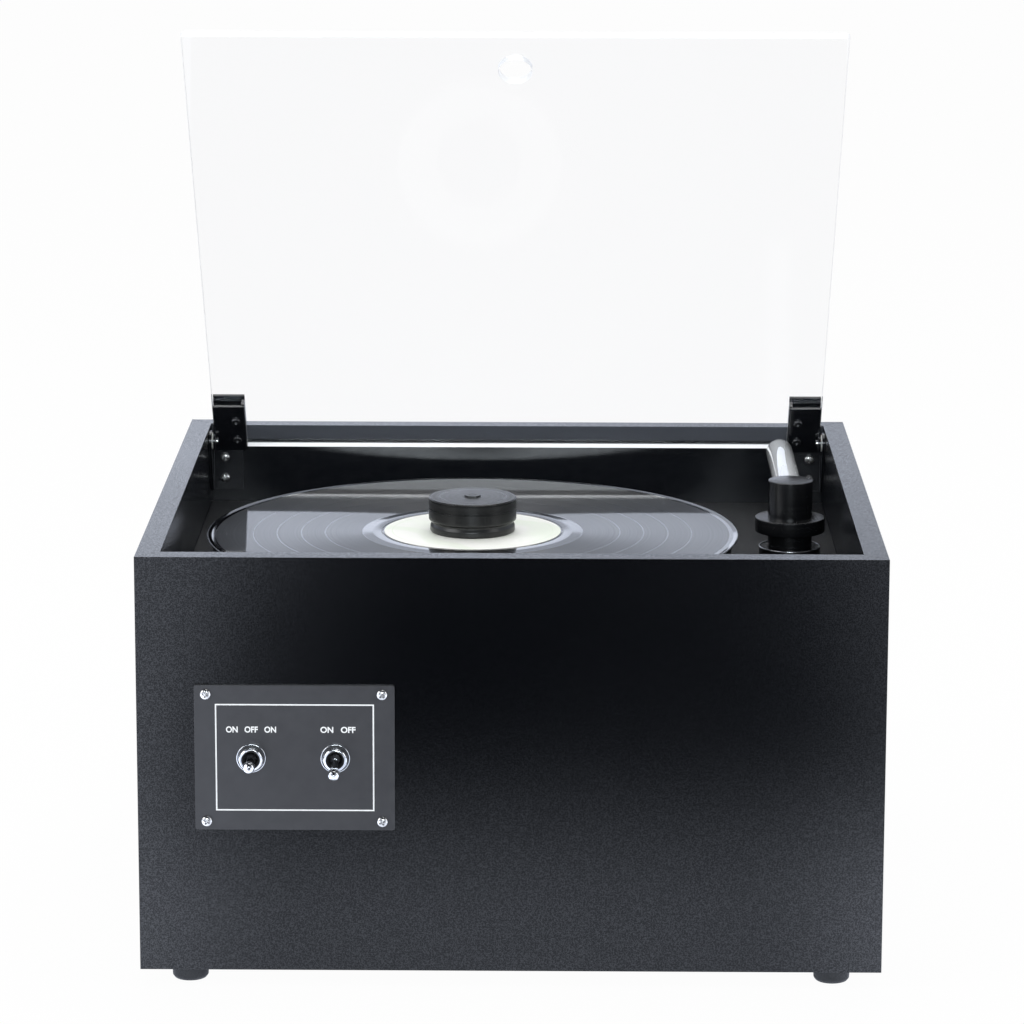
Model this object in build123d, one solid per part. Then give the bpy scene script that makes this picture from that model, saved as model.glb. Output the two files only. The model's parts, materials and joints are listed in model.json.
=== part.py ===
from build123d import *
import math
import os

# Record cleaning machine with a sunken turntable, a suction arm and a clear hinged lid.
# Millimetres. +Z up, +X right, +Y back. The origin is on the surface that the feet stand on,
# midway between the sides and midway between the foremost and the rearmost point.

# ---- driving dimensions -------------------------------------------------------------------

cabinet_width = 396.0
cabinet_depth = 380.0
cabinet_height = 226.0
board = 12.7                 # thickness of every cabinet board
foot_height = 9.5
foot_radius = 10.0
foot_inset_x = 25.5          # foot centre in from the cabinet's side
foot_inset_y = 18.0          # foot centre in from the cabinet's front and back

deck_drop = 47.5             # from the rim down to the deck
cleat = 15.0                 # section of the battens that carry the deck
corner_block = 22.0

record_radius = 150.8
record_thickness = 1.8
record_above_deck = 20.9     # from the deck up to the label
record_x = -23.8             # the turntable sits left of the middle
label_radius = 50.0
label_thickness = 0.12
platter_radius = 147.0
platter_thickness = 12.0
mat_thickness = 1.5
spindle_radius = 3.57
spindle_rise = 15.0          # above the label
clamp_radius = 24.85
clamp_height = 19.5
clamp_waist_rise = 5.8       # height of the narrower part at the clamp's base
clamp_nut_width = 8.0        # across flats of the nut on top of the clamp

arm_x = 158.0
arm_y = 35.0
stem_radius = 12.7
stem_bore = 9.5
stem_drop = 40.5             # length of the stem below the deck
cap_above_rim = -4.0         # the cap stops this far below the rim
collar_radius = 20.0
collar_thickness = 8.2
cap_height = 21.5            # from the collar up to the cap's top
tube_radius = 7.95
tube_bore = 6.35
tube_end_y = 160.0
tube_below_cap = 8.5         # from the cap's top down to the tube's axis
slot_width = 3.2
slot_start = 38.0            # along the tube, from the arm's axis
slot_end = 121.0
lip_radius = 9.6             # outer radius of the velvet lips round the tube's axis
lip_half_width = 5.6
ring_radius = 17.9
ring_rise = 5.2              # trim ring's top above the deck
ring_thickness = 0.9
fit = 0.05                   # radial clearance of a running fit

lid_width = 365.0
lid_length = 343.0
lid_thickness = 4.76
lid_open = 51.9              # degrees up from closed, as the lid stands at rest
lid_rise = 0.6               # closed lid's underside above the arm's cap
finger_hole_radius = 9.3
finger_hole_inset = 26.0
hinge_y = 161.0
hinge_drop = 4.1             # pin centre below the closed lid's underside
hinge_tail = 10.05           # lid edge behind the pin when closed
steel = 1.5                  # sheet steel of clamps and brackets
clamp_inner_x = 163.1        # inner face of the lid clamps
clamp_outer_x = 182.0
clamp_reach = 38.0           # how far the lid clamps grip the sheet
pin_radius = 1.5
pin_head_radius = 2.4

plate_left = -167.3
plate_right = -61.5
plate_bottom = 78.4          # above the cabinet's underside
plate_top = 157.3
plate_thickness = 2.0
switch_x = (-137.3, -92.8)
switch_height = 118.1        # above the cabinet's underside
switch_nose = 6.0            # bushing in front of the plate
lever_length = 17.5          # pivot to the centre of the ball tip
lever_tip_radius = 2.9
lever_throw = 13.0           # degrees each side of level
lever_ball = 3.4             # radius of the ball that the lever turns on
bushing_radius = 5.95        # the threaded bushing through the plate
nut_radius = 7.75
nut_thickness = 2.4
case_half = (8.0, 14.0)      # half width and half height of a switch's case
case_depth = 22.0            # behind the front board's face

motor_can_radius = 32.0
vacuum_x = 80.0
vacuum_y = -75.0
vacuum_can_radius = 50.0
fan_radius = 71.0
tank_left = 100.0
tank_right = 182.0
tank_front = 8.0
tank_back = 152.0
tank_height = 58.0

# ---- places worked out from them ----------------------------------------------------------

floor_board = foot_height + board            # top of the bottom panel
rim = foot_height + cabinet_height
inner_x = cabinet_width / 2 - board
inner_y = cabinet_depth / 2 - board
front = -cabinet_depth / 2
back = cabinet_depth / 2
deck_top = rim - deck_drop
deck_under = deck_top - board
record_top = deck_top + record_above_deck
record_under = record_top - record_thickness
mat_top = record_under - fit
platter_top = mat_top - mat_thickness
platter_under = platter_top - platter_thickness
cap_top = rim + cap_above_rim
collar_top = cap_top - cap_height
collar_under = collar_top - collar_thickness
stem_under = deck_top - stem_drop
tube_z = cap_top - tube_below_cap
ring_top = deck_top + ring_rise
lid_under = cap_top + lid_rise               # of the closed lid
lid_back = hinge_y + hinge_tail
hinge_z = lid_under - hinge_drop
plate_face = front - plate_thickness
pivot_y = plate_face - switch_nose / 2
switch_z = foot_height + switch_height
front_reach = pivot_y - lever_length - lever_tip_radius
rear_reach = -front_reach
tank_floor = floor_board + 0.5
tank_rim = tank_floor + tank_height
spout_x = 150.0
spout_z = tank_floor + 14.0

parts = {}


# ---- shared shapes ------------------------------------------------------------------------

def block(x0, x1, y0, y1, z0, z1):
    """A box between two corners."""
    size = Box(abs(x1 - x0), abs(y1 - y0), abs(z1 - z0))
    return Pos((x0 + x1) / 2, (y0 + y1) / 2, (z0 + z1) / 2) * size


def disc(x, y, radius, z0, z1):
    """An upright cylinder."""
    return Pos(x, y, (z0 + z1) / 2) * Cylinder(radius, z1 - z0)


def ring(x, y, outer, inner, z0, z1):
    """An upright tube."""
    return disc(x, y, outer, z0, z1) - disc(x, y, inner, z0 - 1, z1 + 1)


def rod_x(y, z, radius, x0, x1):
    """A cylinder along X."""
    return Pos((x0 + x1) / 2, y, z) * Rot(0, 90, 0) * Cylinder(radius, abs(x1 - x0))


def rod_y(x, z, radius, y0, y1):
    """A cylinder along Y."""
    return Pos(x, (y0 + y1) / 2, z) * Rot(90, 0, 0) * Cylinder(radius, y1 - y0)


def turned(points, x=0.0, y=0.0):
    """A solid of revolution about the upright line through x, y from (radius, height) points."""
    outline = Polyline([(r, 0, z) for r, z in points], close=True)
    return Pos(x, y, 0) * revolve(make_face(outline), Axis.Z)


def facing(x, y, z, direction):
    """A place whose own +Z points along direction."""
    along = (1, 0, 0) if abs(direction[0]) < 0.5 else (0, 1, 0)
    return Plane(origin=(x, y, z), x_dir=along, z_dir=direction).location


def pan_screw(head_radius, head_height, shank_radius, shank_length):
    """A cross-head pan screw: its head on top of z = 0, its shank below."""
    head = Pos(0, 0, head_height / 2) * Cylinder(head_radius, head_height)
    head = fillet(head.edges().group_by(Axis.Z)[-1], head_height * 0.55)
    arm = Box(head_radius * 1.15, head_radius * 0.3, head_height)
    cross = Pos(0, 0, head_height) * (arm + Rot(0, 0, 90) * arm)
    shank = Pos(0, 0, -shank_length / 2) * Cylinder(shank_radius, shank_length)
    return head - cross + shank


def screw_holes(places, screw):
    """The holes that a pan screw's shank needs at several places."""
    depth = screw["shank_length"]
    hole = Pos(0, 0, -depth / 2) * Cylinder(screw["shank_radius"] + fit, depth + 0.4)
    return at_all(places, hole)


def at_all(places, shape):
    """Copies of a shape at several places."""
    return [place * shape for place in places]


def cut(shape, tools):
    """A shape less each of the tools."""
    for tool in tools:
        shape = shape - tool
    return shape


def cut_each(shapes, tool):
    """Each of several solids less one tool."""
    return [shape - tool for shape in shapes]


def both_sides(shape):
    """A right-hand shape and its mirror image on the left."""
    return [shape, mirror(shape, about=Plane.YZ)]


def keep(name, shape):
    """Store a node: one solid, or a list of separate alike solids."""
    parts[name] = Compound(children=shape) if isinstance(shape, list) else shape


# ---- cabinet ------------------------------------------------------------------------------

window_room = 3.0            # clearance round a switch's case in the front board
windows = [block(x - case_half[0] - window_room, x + case_half[0] + window_room, front - 1,
                 front + board + 1, switch_z - case_half[1] - window_room,
                 switch_z + case_half[1] + window_room) for x in switch_x]
vent_x, vent_z, vent_half = 20.0, 80.0, 24.0
inlet_x, inlet_z = -130.0, 60.0
inlet_half_w, inlet_half_h = 14.0, 10.3

plate_screw = dict(head_radius=2.9, head_height=1.9, shank_radius=1.5, shank_length=11.0)
plate_places = [facing(x, plate_face, foot_height + z, (0, -1, 0))
                for x in (-161.2, -68.1) for z in (83.1, 152.5)]

bracket_screw = dict(head_radius=2.9, head_height=2.0, shank_radius=1.6, shank_length=11.0)
bracket_leaf = 2.0
bracket_face = inner_y - bracket_leaf
bracket_places = [facing(side * 177.0, bracket_face, foot_height + z, (0, -1, 0))
                  for side in (1, -1) for z in (193.0, 205.6)]

back_screw = dict(head_radius=2.6, head_height=1.8, shank_radius=1.4, shank_length=9.0)
vent_plate_half = vent_half + 8.0
back_plate = 2.0
back_places = ([facing(vent_x + sx * (vent_plate_half - 4), back + back_plate, vent_z + sz *
                       (vent_plate_half - 4), (0, 1, 0)) for sx in (-1, 1) for sz in (-1, 1)]
               + [facing(inlet_x + s * 20, back + back_plate, inlet_z, (0, 1, 0)) for s in (-1, 1)])

foot_screw = dict(head_radius=3.6, head_height=2.4, shank_radius=1.8, shank_length=11.0)
foot_places = [(sx * (cabinet_width / 2 - foot_inset_x), sy * (cabinet_depth / 2 - foot_inset_y))
               for sx in (-1, 1) for sy in (-1, 1)]
foot_recess = 4.0
foot_tops = [facing(x, y, foot_recess, (0, 0, -1)) for x, y in foot_places]


def mitred_board(length, z0, z1):
    """A wall board along X, its face at y = 0, mitred at 45 degrees at both ends."""
    half = length / 2
    plan = Polyline([(-half, 0), (half, 0), (half - board, board), (-half + board, board)], close=True)
    return Pos(0, 0, z0) * extrude(make_face(plan), amount=z1 - z0)


def make_cabinet():
    wide = mitred_board(cabinet_width, foot_height, rim)
    deep = mitred_board(cabinet_depth, foot_height, rim)
    front_board = cut(Pos(0, front, 0) * wide, windows)
    keep("front_panel", cut(front_board, screw_holes(plate_places, plate_screw)))
    back_board = Pos(0, back, 0) * Rot(0, 0, 180) * wide
    back_board -= block(vent_x - vent_half, vent_x + vent_half, inner_y - 1, back + 1,
                        vent_z - vent_half, vent_z + vent_half)
    back_board -= block(inlet_x - inlet_half_w, inlet_x + inlet_half_w, inner_y - 1, back + 1,
                        inlet_z - inlet_half_h, inlet_z + inlet_half_h)
    back_board -= rod_y(spout_x, spout_z, 6.2, inner_y - 1, back + 1)
    back_board = cut(back_board, screw_holes(back_places, back_screw))
    keep("back_panel", cut(back_board, screw_holes(bracket_places, bracket_screw)))
    keep("left_panel", Pos(-cabinet_width / 2, 0, 0) * Rot(0, 0, -90) * deep)
    keep("right_panel", Pos(cabinet_width / 2, 0, 0) * Rot(0, 0, 90) * deep)
    bottom = block(-inner_x, inner_x, -inner_y, inner_y, foot_height, floor_board)
    keep("bottom_panel", cut(bottom, screw_holes(foot_tops, foot_screw)))


def make_framing():
    keep("corner_blocks", [block(sx * inner_x, sx * (inner_x - corner_block), sy * inner_y,
                                 sy * (inner_y - corner_block), floor_board, deck_under - cleat)
                           for sx in (-1, 1) for sy in (-1, 1)])
    under = deck_under - cleat
    rails = [block(-inner_x, inner_x, s * inner_y, s * (inner_y - cleat), under, deck_under)
             for s in (-1, 1)]
    rails += [block(s * inner_x, s * (inner_x - cleat), cleat - inner_y, inner_y - cleat, under, deck_under)
              for s in (-1, 1)]
    sleeve_room = disc(arm_x, arm_y, sleeve_radius + 1.5, under - 1, deck_under + 1)
    keep("deck_cleats", cut_each(rails, sleeve_room))
    deck = block(-inner_x, inner_x, -inner_y, inner_y, deck_under, deck_top)
    deck -= disc(record_x, 0, shaft_room, deck_under - 1, deck_top + 1)
    deck -= disc(arm_x, arm_y, sleeve_radius + fit, deck_under - 1, deck_top + 1)
    keep("deck", deck)


def make_feet():
    profile = [(3.7, 0), (foot_radius - 1.8, 0), (foot_radius - 0.9, 0.8), (foot_radius, foot_height - 0.8),
               (foot_radius - 0.5, foot_height), (1.9, foot_height), (1.9, foot_recess), (3.7, foot_recess)]
    keep("feet", [turned(profile, x, y) for x, y in foot_places])
    screw = pan_screw(**foot_screw)
    keep("foot_screws", at_all(foot_tops, screw))


# ---- control plate and switches -----------------------------------------------------------

def make_controls():
    plate = block(plate_left, plate_right, plate_face, front, foot_height + plate_bottom,
                  foot_height + plate_top)
    plate = fillet(plate.edges().filter_by(Axis.Y), 1.2)
    for x in switch_x:
        plate -= rod_y(x, switch_z, bushing_radius + fit, plate_face - 1, front + 1)
    keep("control_plate", cut(plate, screw_holes(plate_places, plate_screw)))
    keep("control_plate_screws", at_all(plate_places, pan_screw(**plate_screw)))
    keep("turntable_switch", switch_body(switch_x[0]))
    keep("vacuum_switch", switch_body(switch_x[1]))
    keep("switch_nuts", [dress_nut(x) for x in switch_x])
    keep("turntable_lever", bat_lever(switch_x[0], 0.0))
    keep("vacuum_lever", bat_lever(switch_x[1], lever_throw))


def switch_body(x):
    """Toggle switch: moulded case behind the plate, bushing through it, a socket for the lever."""
    half_w, half_h = case_half
    case_front, case_back = front + 0.8, front + case_depth
    case = block(x - half_w, x + half_w, case_front, case_back, switch_z - half_h, switch_z + half_h)
    case = fillet(case.edges().filter_by(Axis.Y), 1.0)
    tags = [block(x - 1.2, x + 1.2, case_back, case_back + 8, switch_z + dz - 3, switch_z + dz + 3)
            for dz in (-9, 9)]
    nose = rod_y(x, switch_z, bushing_radius, plate_face - switch_nose, case_front)
    nose = chamfer(nose.edges().group_by(Axis.Y)[0], 0.6)
    body = case + nose + tags[0] + tags[1]
    body -= Pos(x, pivot_y, switch_z) * Sphere(lever_ball + fit)
    mouth = Pos(x, pivot_y - 1.6, switch_z) * Rot(90, 0, 0) * Cone(3.4, 4.8, 3.4)
    return body - mouth


def dress_nut(x):
    """Smooth round nut that clamps the switch to the plate."""
    nut_face = plate_face - nut_thickness
    nut = rod_y(x, switch_z, nut_radius, nut_face, plate_face)
    nut = chamfer(nut.edges().group_by(Axis.Y)[0], 0.7)
    return nut - rod_y(x, switch_z, bushing_radius + fit, nut_face - 1, plate_face + 1)


def bat_lever(x, droop):
    """Tapered bat handle with a ball tip, hung at droop degrees below level."""
    neck = lever_length - 1.3
    profile = [(0, -2.6), (1.2, -2.6), (2.3, 2.5), (1.75, 3.6), (2.6, neck), (0, neck)]
    bat = turned(profile) + Sphere(lever_ball) + Pos(0, 0, lever_length) * Sphere(lever_tip_radius)
    return Pos(x, pivot_y, switch_z) * Rot(90 + droop, 0, 0) * bat


# ---- lid and hinges -----------------------------------------------------------------------

def opened(shape):
    """Turn a piece drawn with the lid closed to where it stands with the lid at rest."""
    return shape.rotate(Axis((0, hinge_y, hinge_z), (1, 0, 0)), -lid_open)


slit = steel + 0.4
grip_y = lid_back - clamp_reach
clamp_low = lid_under - fit - steel
clamp_high = lid_under + lid_thickness + fit + steel
cheek_x = 181.2                              # inner face of the cheek that carries the pin hole
cheek_length = 12.0                          # of the cheek in front of the pin
screw_line = 168.6                           # the clamp screws' distance from the middle
strap_reach = 2.4                            # the outer strap goes this far beyond the clamp
pin_boss = 5.5
washer_radius = 5.0
washer_thickness = 0.8
clamp_screw = dict(head_radius=2.7, head_height=1.7, shank_radius=1.45,
                   shank_length=lid_thickness + 3 * steel + 0.8)
clamp_screw_inset = (8.7, 25.5)              # from the lid's back edge
ear_radius = 6.2
leaf_inner_x = 166.0
leaf_bottom = 186.0                          # the bracket's leaf, above the cabinet's underside
leaf_top = 211.5


def make_lid():
    sheet = block(-lid_width / 2, lid_width / 2, lid_back - lid_length, lid_back,
                  lid_under, lid_under + lid_thickness)
    sheet = fillet(sheet.edges().filter_by(Axis.Z), 2.0)
    sheet = chamfer(sheet.edges().group_by(Axis.Z)[0] + sheet.edges().group_by(Axis.Z)[-1], 0.3)
    sheet -= disc(0, lid_back - lid_length + finger_hole_inset, finger_hole_radius,
                  lid_under - 1, lid_under + lid_thickness + 1)
    wall_mid = clamp_inner_x + steel / 2
    for side in (1, -1):
        sheet -= block(side * wall_mid - slit / 2, side * wall_mid + slit / 2, grip_y - 0.5, lid_back + 1,
                       lid_under - 1, lid_under + lid_thickness + 1)
    keep("lid_sheet", opened(cut(sheet, screw_holes(clamp_screw_places(), clamp_screw))))


def clamp_screw_places():
    return [facing(side * screw_line, lid_back - inset, clamp_low, (0, 0, -1))
            for side in (1, -1) for inset in clamp_screw_inset]


def lid_clamp():
    """Right-hand clamp of sheet steel: two plates with a strap on the upper one, an inner wall, a cheek."""
    end = lid_back + steel
    low = block(clamp_inner_x, clamp_outer_x, grip_y, end, clamp_low, clamp_low + steel)
    high = block(clamp_inner_x, clamp_outer_x, grip_y, end, clamp_high - steel, clamp_high)
    wall = block(clamp_inner_x, clamp_inner_x + steel, grip_y, end, clamp_low, clamp_high)
    clamp = low + high + wall
    clamp = fillet(clamp.edges().filter_by(Axis.Y).group_by(Axis.X)[0], 1.1)
    clamp += block(clamp_inner_x, clamp_outer_x, grip_y - strap_reach, lid_back - 3, clamp_high,
                   clamp_high + steel)
    lug = Polyline([(hinge_y - cheek_length, clamp_low + steel), (end, clamp_low + steel),
                    (hinge_y + pin_boss, hinge_z), (hinge_y - pin_boss, hinge_z)], close=True)
    cheek = Pos(cheek_x, 0, 0) * extrude(Plane.YZ * make_face(lug), amount=steel)
    cheek += rod_x(hinge_y, hinge_z, pin_boss, cheek_x, cheek_x + steel)
    cheek -= block(cheek_x - 1, cheek_x + 3, hinge_y - 9, hinge_y + 9, clamp_low + steel, hinge_z + 9)
    fold = block(clamp_outer_x - steel, cheek_x + steel, hinge_y - cheek_length, end,
                 clamp_low, clamp_low + steel)
    clamp = clamp + cheek + fold
    clamp -= rod_x(hinge_y, hinge_z, pin_radius + fit, cheek_x - 1, cheek_x + steel + 1)
    return cut(clamp, screw_holes(clamp_screw_places()[:2], clamp_screw))


def hinge_bracket():
    """Right-hand bracket: a leaf screwed to the back board and an ear along the side board."""
    low, high = foot_height + leaf_bottom, foot_height + leaf_top
    ear_in = cheek_x + steel + washer_thickness
    ear_out = ear_in + steel
    leaf = block(leaf_inner_x, ear_out, bracket_face, inner_y, low, high)
    corner = ear_radius / math.sqrt(2)
    outline = Polyline([(inner_y, low), (inner_y, high), (hinge_y + ear_radius, hinge_z + corner),
                        (hinge_y - corner, hinge_z + corner), (hinge_y - ear_radius, hinge_z),
                        (hinge_y - corner, hinge_z - corner), (hinge_y + corner, low + 8),
                        (inner_y - 6, low)], close=True)
    ear = Pos(ear_in, 0, 0) * extrude(Plane.YZ * make_face(outline), amount=steel)
    ear += rod_x(hinge_y, hinge_z, ear_radius, ear_in, ear_out)
    bracket = leaf + ear
    bracket -= rod_x(hinge_y, hinge_z, pin_radius, ear_in - 1, ear_out + 1)
    return cut(bracket, screw_holes(bracket_places[:2], bracket_screw))


def make_hinges():
    clamps = both_sides(opened(lid_clamp()))
    keep("right_hinge_clamp", clamps[0])
    keep("left_hinge_clamp", clamps[1])
    keep("hinge_clamp_screws", [opened(place * pan_screw(**clamp_screw)) for place in clamp_screw_places()])
    brackets = both_sides(hinge_bracket())
    keep("right_hinge_bracket", brackets[0])
    keep("left_hinge_bracket", brackets[1])
    keep("hinge_bracket_screws", at_all(bracket_places, pan_screw(**bracket_screw)))
    cheek_out = cheek_x + steel
    pin = rod_x(hinge_y, hinge_z, pin_radius, cheek_x - 0.1, cheek_out + washer_thickness + steel)
    pin += rod_x(hinge_y, hinge_z, pin_head_radius, cheek_x - 1.3, cheek_x - 0.1)
    keep("hinge_pins", both_sides(pin))
    washer = rod_x(hinge_y, hinge_z, washer_radius, cheek_out + fit, cheek_out + washer_thickness)
    washer -= rod_x(hinge_y, hinge_z, pin_radius, cheek_out - 1, cheek_out + 2)
    keep("hinge_washers", both_sides(washer))


# ---- turntable ----------------------------------------------------------------------------

gearbox_top = deck_under - 10.0
gearbox_height = 25.0
gearbox_half = (42.0, 31.0)                  # half width and half depth
gearbox_offset = -6.0                        # of the motor can from the output shaft
motor_can_height = 48.0
motor_plate_half = (55.0, 42.0)
plate_sheet = 2.0
standoff_half = (34.0, 24.0)
standoff_radius = 4.0
shaft_radius = 4.0
shaft_depth = 15.0                           # into the gearbox
hub_radius = 14.0
hub_flange_radius = 40.0
hub_flange = 4.0
shaft_room = 17.0                            # radius of the hole in the deck round the hub


def make_turntable():
    edge = 1.5
    keep("platter", turned([(spindle_radius, platter_under), (platter_radius - edge, platter_under),
                            (platter_radius, platter_under + edge), (platter_radius, platter_top - edge),
                            (platter_radius - edge, platter_top), (spindle_radius, platter_top)], record_x))
    keep("platter_mat", ring(record_x, 0, platter_radius - 2, spindle_radius, platter_top, mat_top))
    tip = record_top + spindle_rise
    foot = gearbox_top - shaft_depth
    spindle = turned([(0, foot), (shaft_radius, foot), (shaft_radius, platter_under),
                      (spindle_radius, platter_under), (spindle_radius, tip - 4), (1.6, tip), (0, tip)],
                     record_x)
    keep("spindle", spindle)
    hub_low, flange_low = deck_under + 3, platter_under - hub_flange
    hub = turned([(shaft_radius, hub_low), (hub_radius, hub_low), (hub_radius, flange_low),
                  (hub_flange_radius, flange_low), (hub_flange_radius, platter_under),
                  (shaft_radius, platter_under)], record_x)
    keep("drive_hub", hub)


def make_motor():
    x = record_x
    plate_under = deck_under - plate_sheet
    half_w, half_d = motor_plate_half
    hole = disc(x, 0, shaft_room, plate_under - 1, deck_under + 1)
    keep("motor_plate", block(x - half_w, x + half_w, -half_d, half_d, plate_under, deck_under) - hole)
    post_x, post_y = standoff_half
    keep("motor_standoffs", [disc(x + sx * post_x, sy * post_y, standoff_radius, gearbox_top, plate_under)
                             for sx in (-1, 1) for sy in (-1, 1)])
    half_w, half_d = gearbox_half
    can_top = gearbox_top - gearbox_height
    box = block(x - half_w, x + half_w, -half_d, half_d, can_top, gearbox_top)
    box = fillet(box.edges().filter_by(Axis.Z), 4.0)
    can_x = x + gearbox_offset
    can = disc(can_x, 0, motor_can_radius - 3, can_top - motor_can_height, can_top)
    flange = disc(can_x, 0, motor_can_radius, can_top - 4, can_top)
    motor = box + can + flange
    motor -= disc(x, 0, shaft_radius + fit, gearbox_top - shaft_depth - 2, gearbox_top + 1)
    keep("turntable_motor", motor)


def record_profile():
    """Flat underside, a thicker label area, a thin playing area and a rounded bead at the rim."""
    top = record_top - label_thickness
    low = top - 0.5
    bead = record_radius - 1.6
    return [(spindle_radius + fit, record_under), (record_radius - 0.6, record_under),
            (record_radius, record_under + 0.5), (record_radius, top - 0.5), (record_radius - 0.5, top),
            (bead - 0.9, top), (bead - 2.2, low), (label_radius + 8, low), (label_radius + 5, top),
            (spindle_radius + fit, top)]


def make_record():
    keep("record", turned(record_profile(), record_x))
    keep("record_label", ring(record_x, 0, label_radius, spindle_radius + fit,
                              record_top - label_thickness, record_top))


clamp_base = record_top + fit
clamp_bore_depth = 16.0
insert_width = 13.0                          # across flats of the threaded insert
insert_height = 8.0
nut_depth = 2.5                              # of the nut in the clamp's top
nut_rise = 0.9                               # of the nut above it


def hex_bar(width, low, high):
    """An upright hexagonal bar on the turntable's axis."""
    bar = extrude(RegularPolygon(width / 2, 6, major_radius=False), amount=high - low)
    return Pos(record_x, 0, low) * bar


def make_clamp():
    waist = clamp_base + clamp_waist_rise
    top = clamp_base + clamp_height
    knob = turned([(spindle_radius + fit, clamp_base), (clamp_radius - 1.4, clamp_base),
                   (clamp_radius - 0.8, clamp_base + 0.7), (clamp_radius - 0.8, waist),
                   (clamp_radius, waist + 1.2), (clamp_radius, top - 0.5), (clamp_radius - 0.5, top),
                   (0, top), (0, clamp_base + clamp_bore_depth),
                   (spindle_radius + fit, clamp_base + clamp_bore_depth)], record_x)
    insert = hex_bar(insert_width, clamp_base, clamp_base + insert_height)
    nut = hex_bar(clamp_nut_width, top - nut_depth, top + nut_rise)
    keep("record_clamp", knob - insert - nut)
    thread = disc(record_x, 0, spindle_radius + fit, clamp_base - 1, clamp_base + insert_height + 1)
    keep("clamp_insert", [insert - thread, nut])


# ---- suction arm --------------------------------------------------------------------------

sleeve_radius = 15.5
spring_room = 25.0                           # from the stem's end down to the socket's floor
seat_z = stem_under - spring_room
socket_floor = 3.0
nipple_radius = 12.4
nipple_length = 16.0
thrust_height = 3.9
cap_wall = 3.0
tube_start = 7.5                             # from the arm's axis to the tube's open end
tube_plug = 3.5                              # thickness of the tube's closed far end
spring_turns = 5
spring_wire = 0.8
spring_radius = 11.1


def make_arm_socket():
    bore = stem_radius + fit
    under = seat_z - socket_floor
    lip = ring_top - ring_thickness
    socket = turned([(bore, lip), (ring_radius - 0.3, lip), (ring_radius - 0.3, deck_top),
                     (sleeve_radius, deck_top), (sleeve_radius, under), (nipple_radius, under),
                     (nipple_radius, under - nipple_length), (stem_bore, under - nipple_length),
                     (stem_bore, seat_z), (bore, seat_z)], arm_x, arm_y)
    keep("arm_socket", socket)
    keep("arm_socket_ring", ring(arm_x, arm_y, ring_radius, bore + 0.6, ring_top - ring_thickness, ring_top))
    keep("arm_thrust_ring", ring(arm_x, arm_y, stem_radius - 0.2, stem_bore,
                                 stem_under - 0.1 - thrust_height, stem_under - 0.1))
    low = seat_z + spring_wire + 0.1
    high = stem_under - 0.2 - thrust_height - spring_wire
    coil = Helix(pitch=(high - low) / spring_turns, height=high - low, radius=spring_radius)
    start = Plane(origin=coil @ 0, z_dir=coil % 0)
    spring = sweep(start * Circle(spring_wire), path=coil)
    keep("arm_spring", Pos(arm_x, arm_y, low) * spring)


def make_arm():
    ceiling = cap_top - cap_wall
    post = turned([(stem_bore, stem_under), (stem_radius, stem_under), (stem_radius, cap_top - 0.5),
                   (stem_radius - 0.5, cap_top), (0, cap_top), (0, ceiling), (stem_bore, ceiling)],
                  arm_x, arm_y)
    post -= rod_y(arm_x, tube_z, tube_radius, arm_y, arm_y + 20)
    keep("arm_post", post)
    collar = turned([(stem_radius, collar_under), (collar_radius - 0.4, collar_under),
                     (collar_radius, collar_under + 0.4), (collar_radius, collar_top - 0.4),
                     (collar_radius - 0.4, collar_top), (stem_radius, collar_top)], arm_x, arm_y)
    keep("arm_collar", collar)
    start = arm_y + tube_start
    tube = rod_y(arm_x, tube_z, tube_radius, start, tube_end_y)
    tube -= rod_y(arm_x, tube_z, tube_bore, start - 1, tube_end_y - tube_plug)
    slot = block(arm_x - slot_width / 2, arm_x + slot_width / 2, arm_y + slot_start, arm_y + slot_end,
                 tube_z - tube_radius - 1, tube_z - tube_bore + 2)
    tube -= slot
    tube = fillet(tube.edges().group_by(Axis.Y)[-1], 1.0)
    keep("suction_tube", tube)
    pad = rod_y(arm_x, tube_z, lip_radius, arm_y + slot_start - 1, arm_y + slot_end + 1)
    pad -= rod_y(arm_x, tube_z, tube_radius, arm_y, tube_end_y + 5)
    lips = [pad & block(arm_x + s * slot_width / 2, arm_x + s * lip_half_width, arm_y, tube_end_y,
                        tube_z - lip_radius - 1, tube_z) for s in (-1, 1)]
    keep("velvet_lips", lips)


# ---- suction path -------------------------------------------------------------------------

wall = 2.5
hose_radius = 15.0
lid_plate = 3.5
duct_radius = 16.0
duct_bore = 14.0
gasket_height = 7.3
can_low = floor_board + gasket_height
can_high = can_low + 46.0
flange_reach = 8.0                           # of the motor's flange beyond the fan cover
cover_low = can_high + 4.0
cover_high = cover_low + 28.0
cover_collar = (16.0, 18.0, 8.0)             # bore radius, outer radius and height of its collar
duct_z = deck_under - cleat - 14.0
duct_bend = 20.0
port_x, port_y = 130.0, 105.0
port_height = 12.0
stud_radius = 2.5
stud_angles = (90.0, 210.0, 330.0)
fan_blades = 9
fan_disc_radius = 62.0
fan_hub_radius = 9.0
tank_nipple = tank_rim + lid_plate + 18.0


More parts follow.
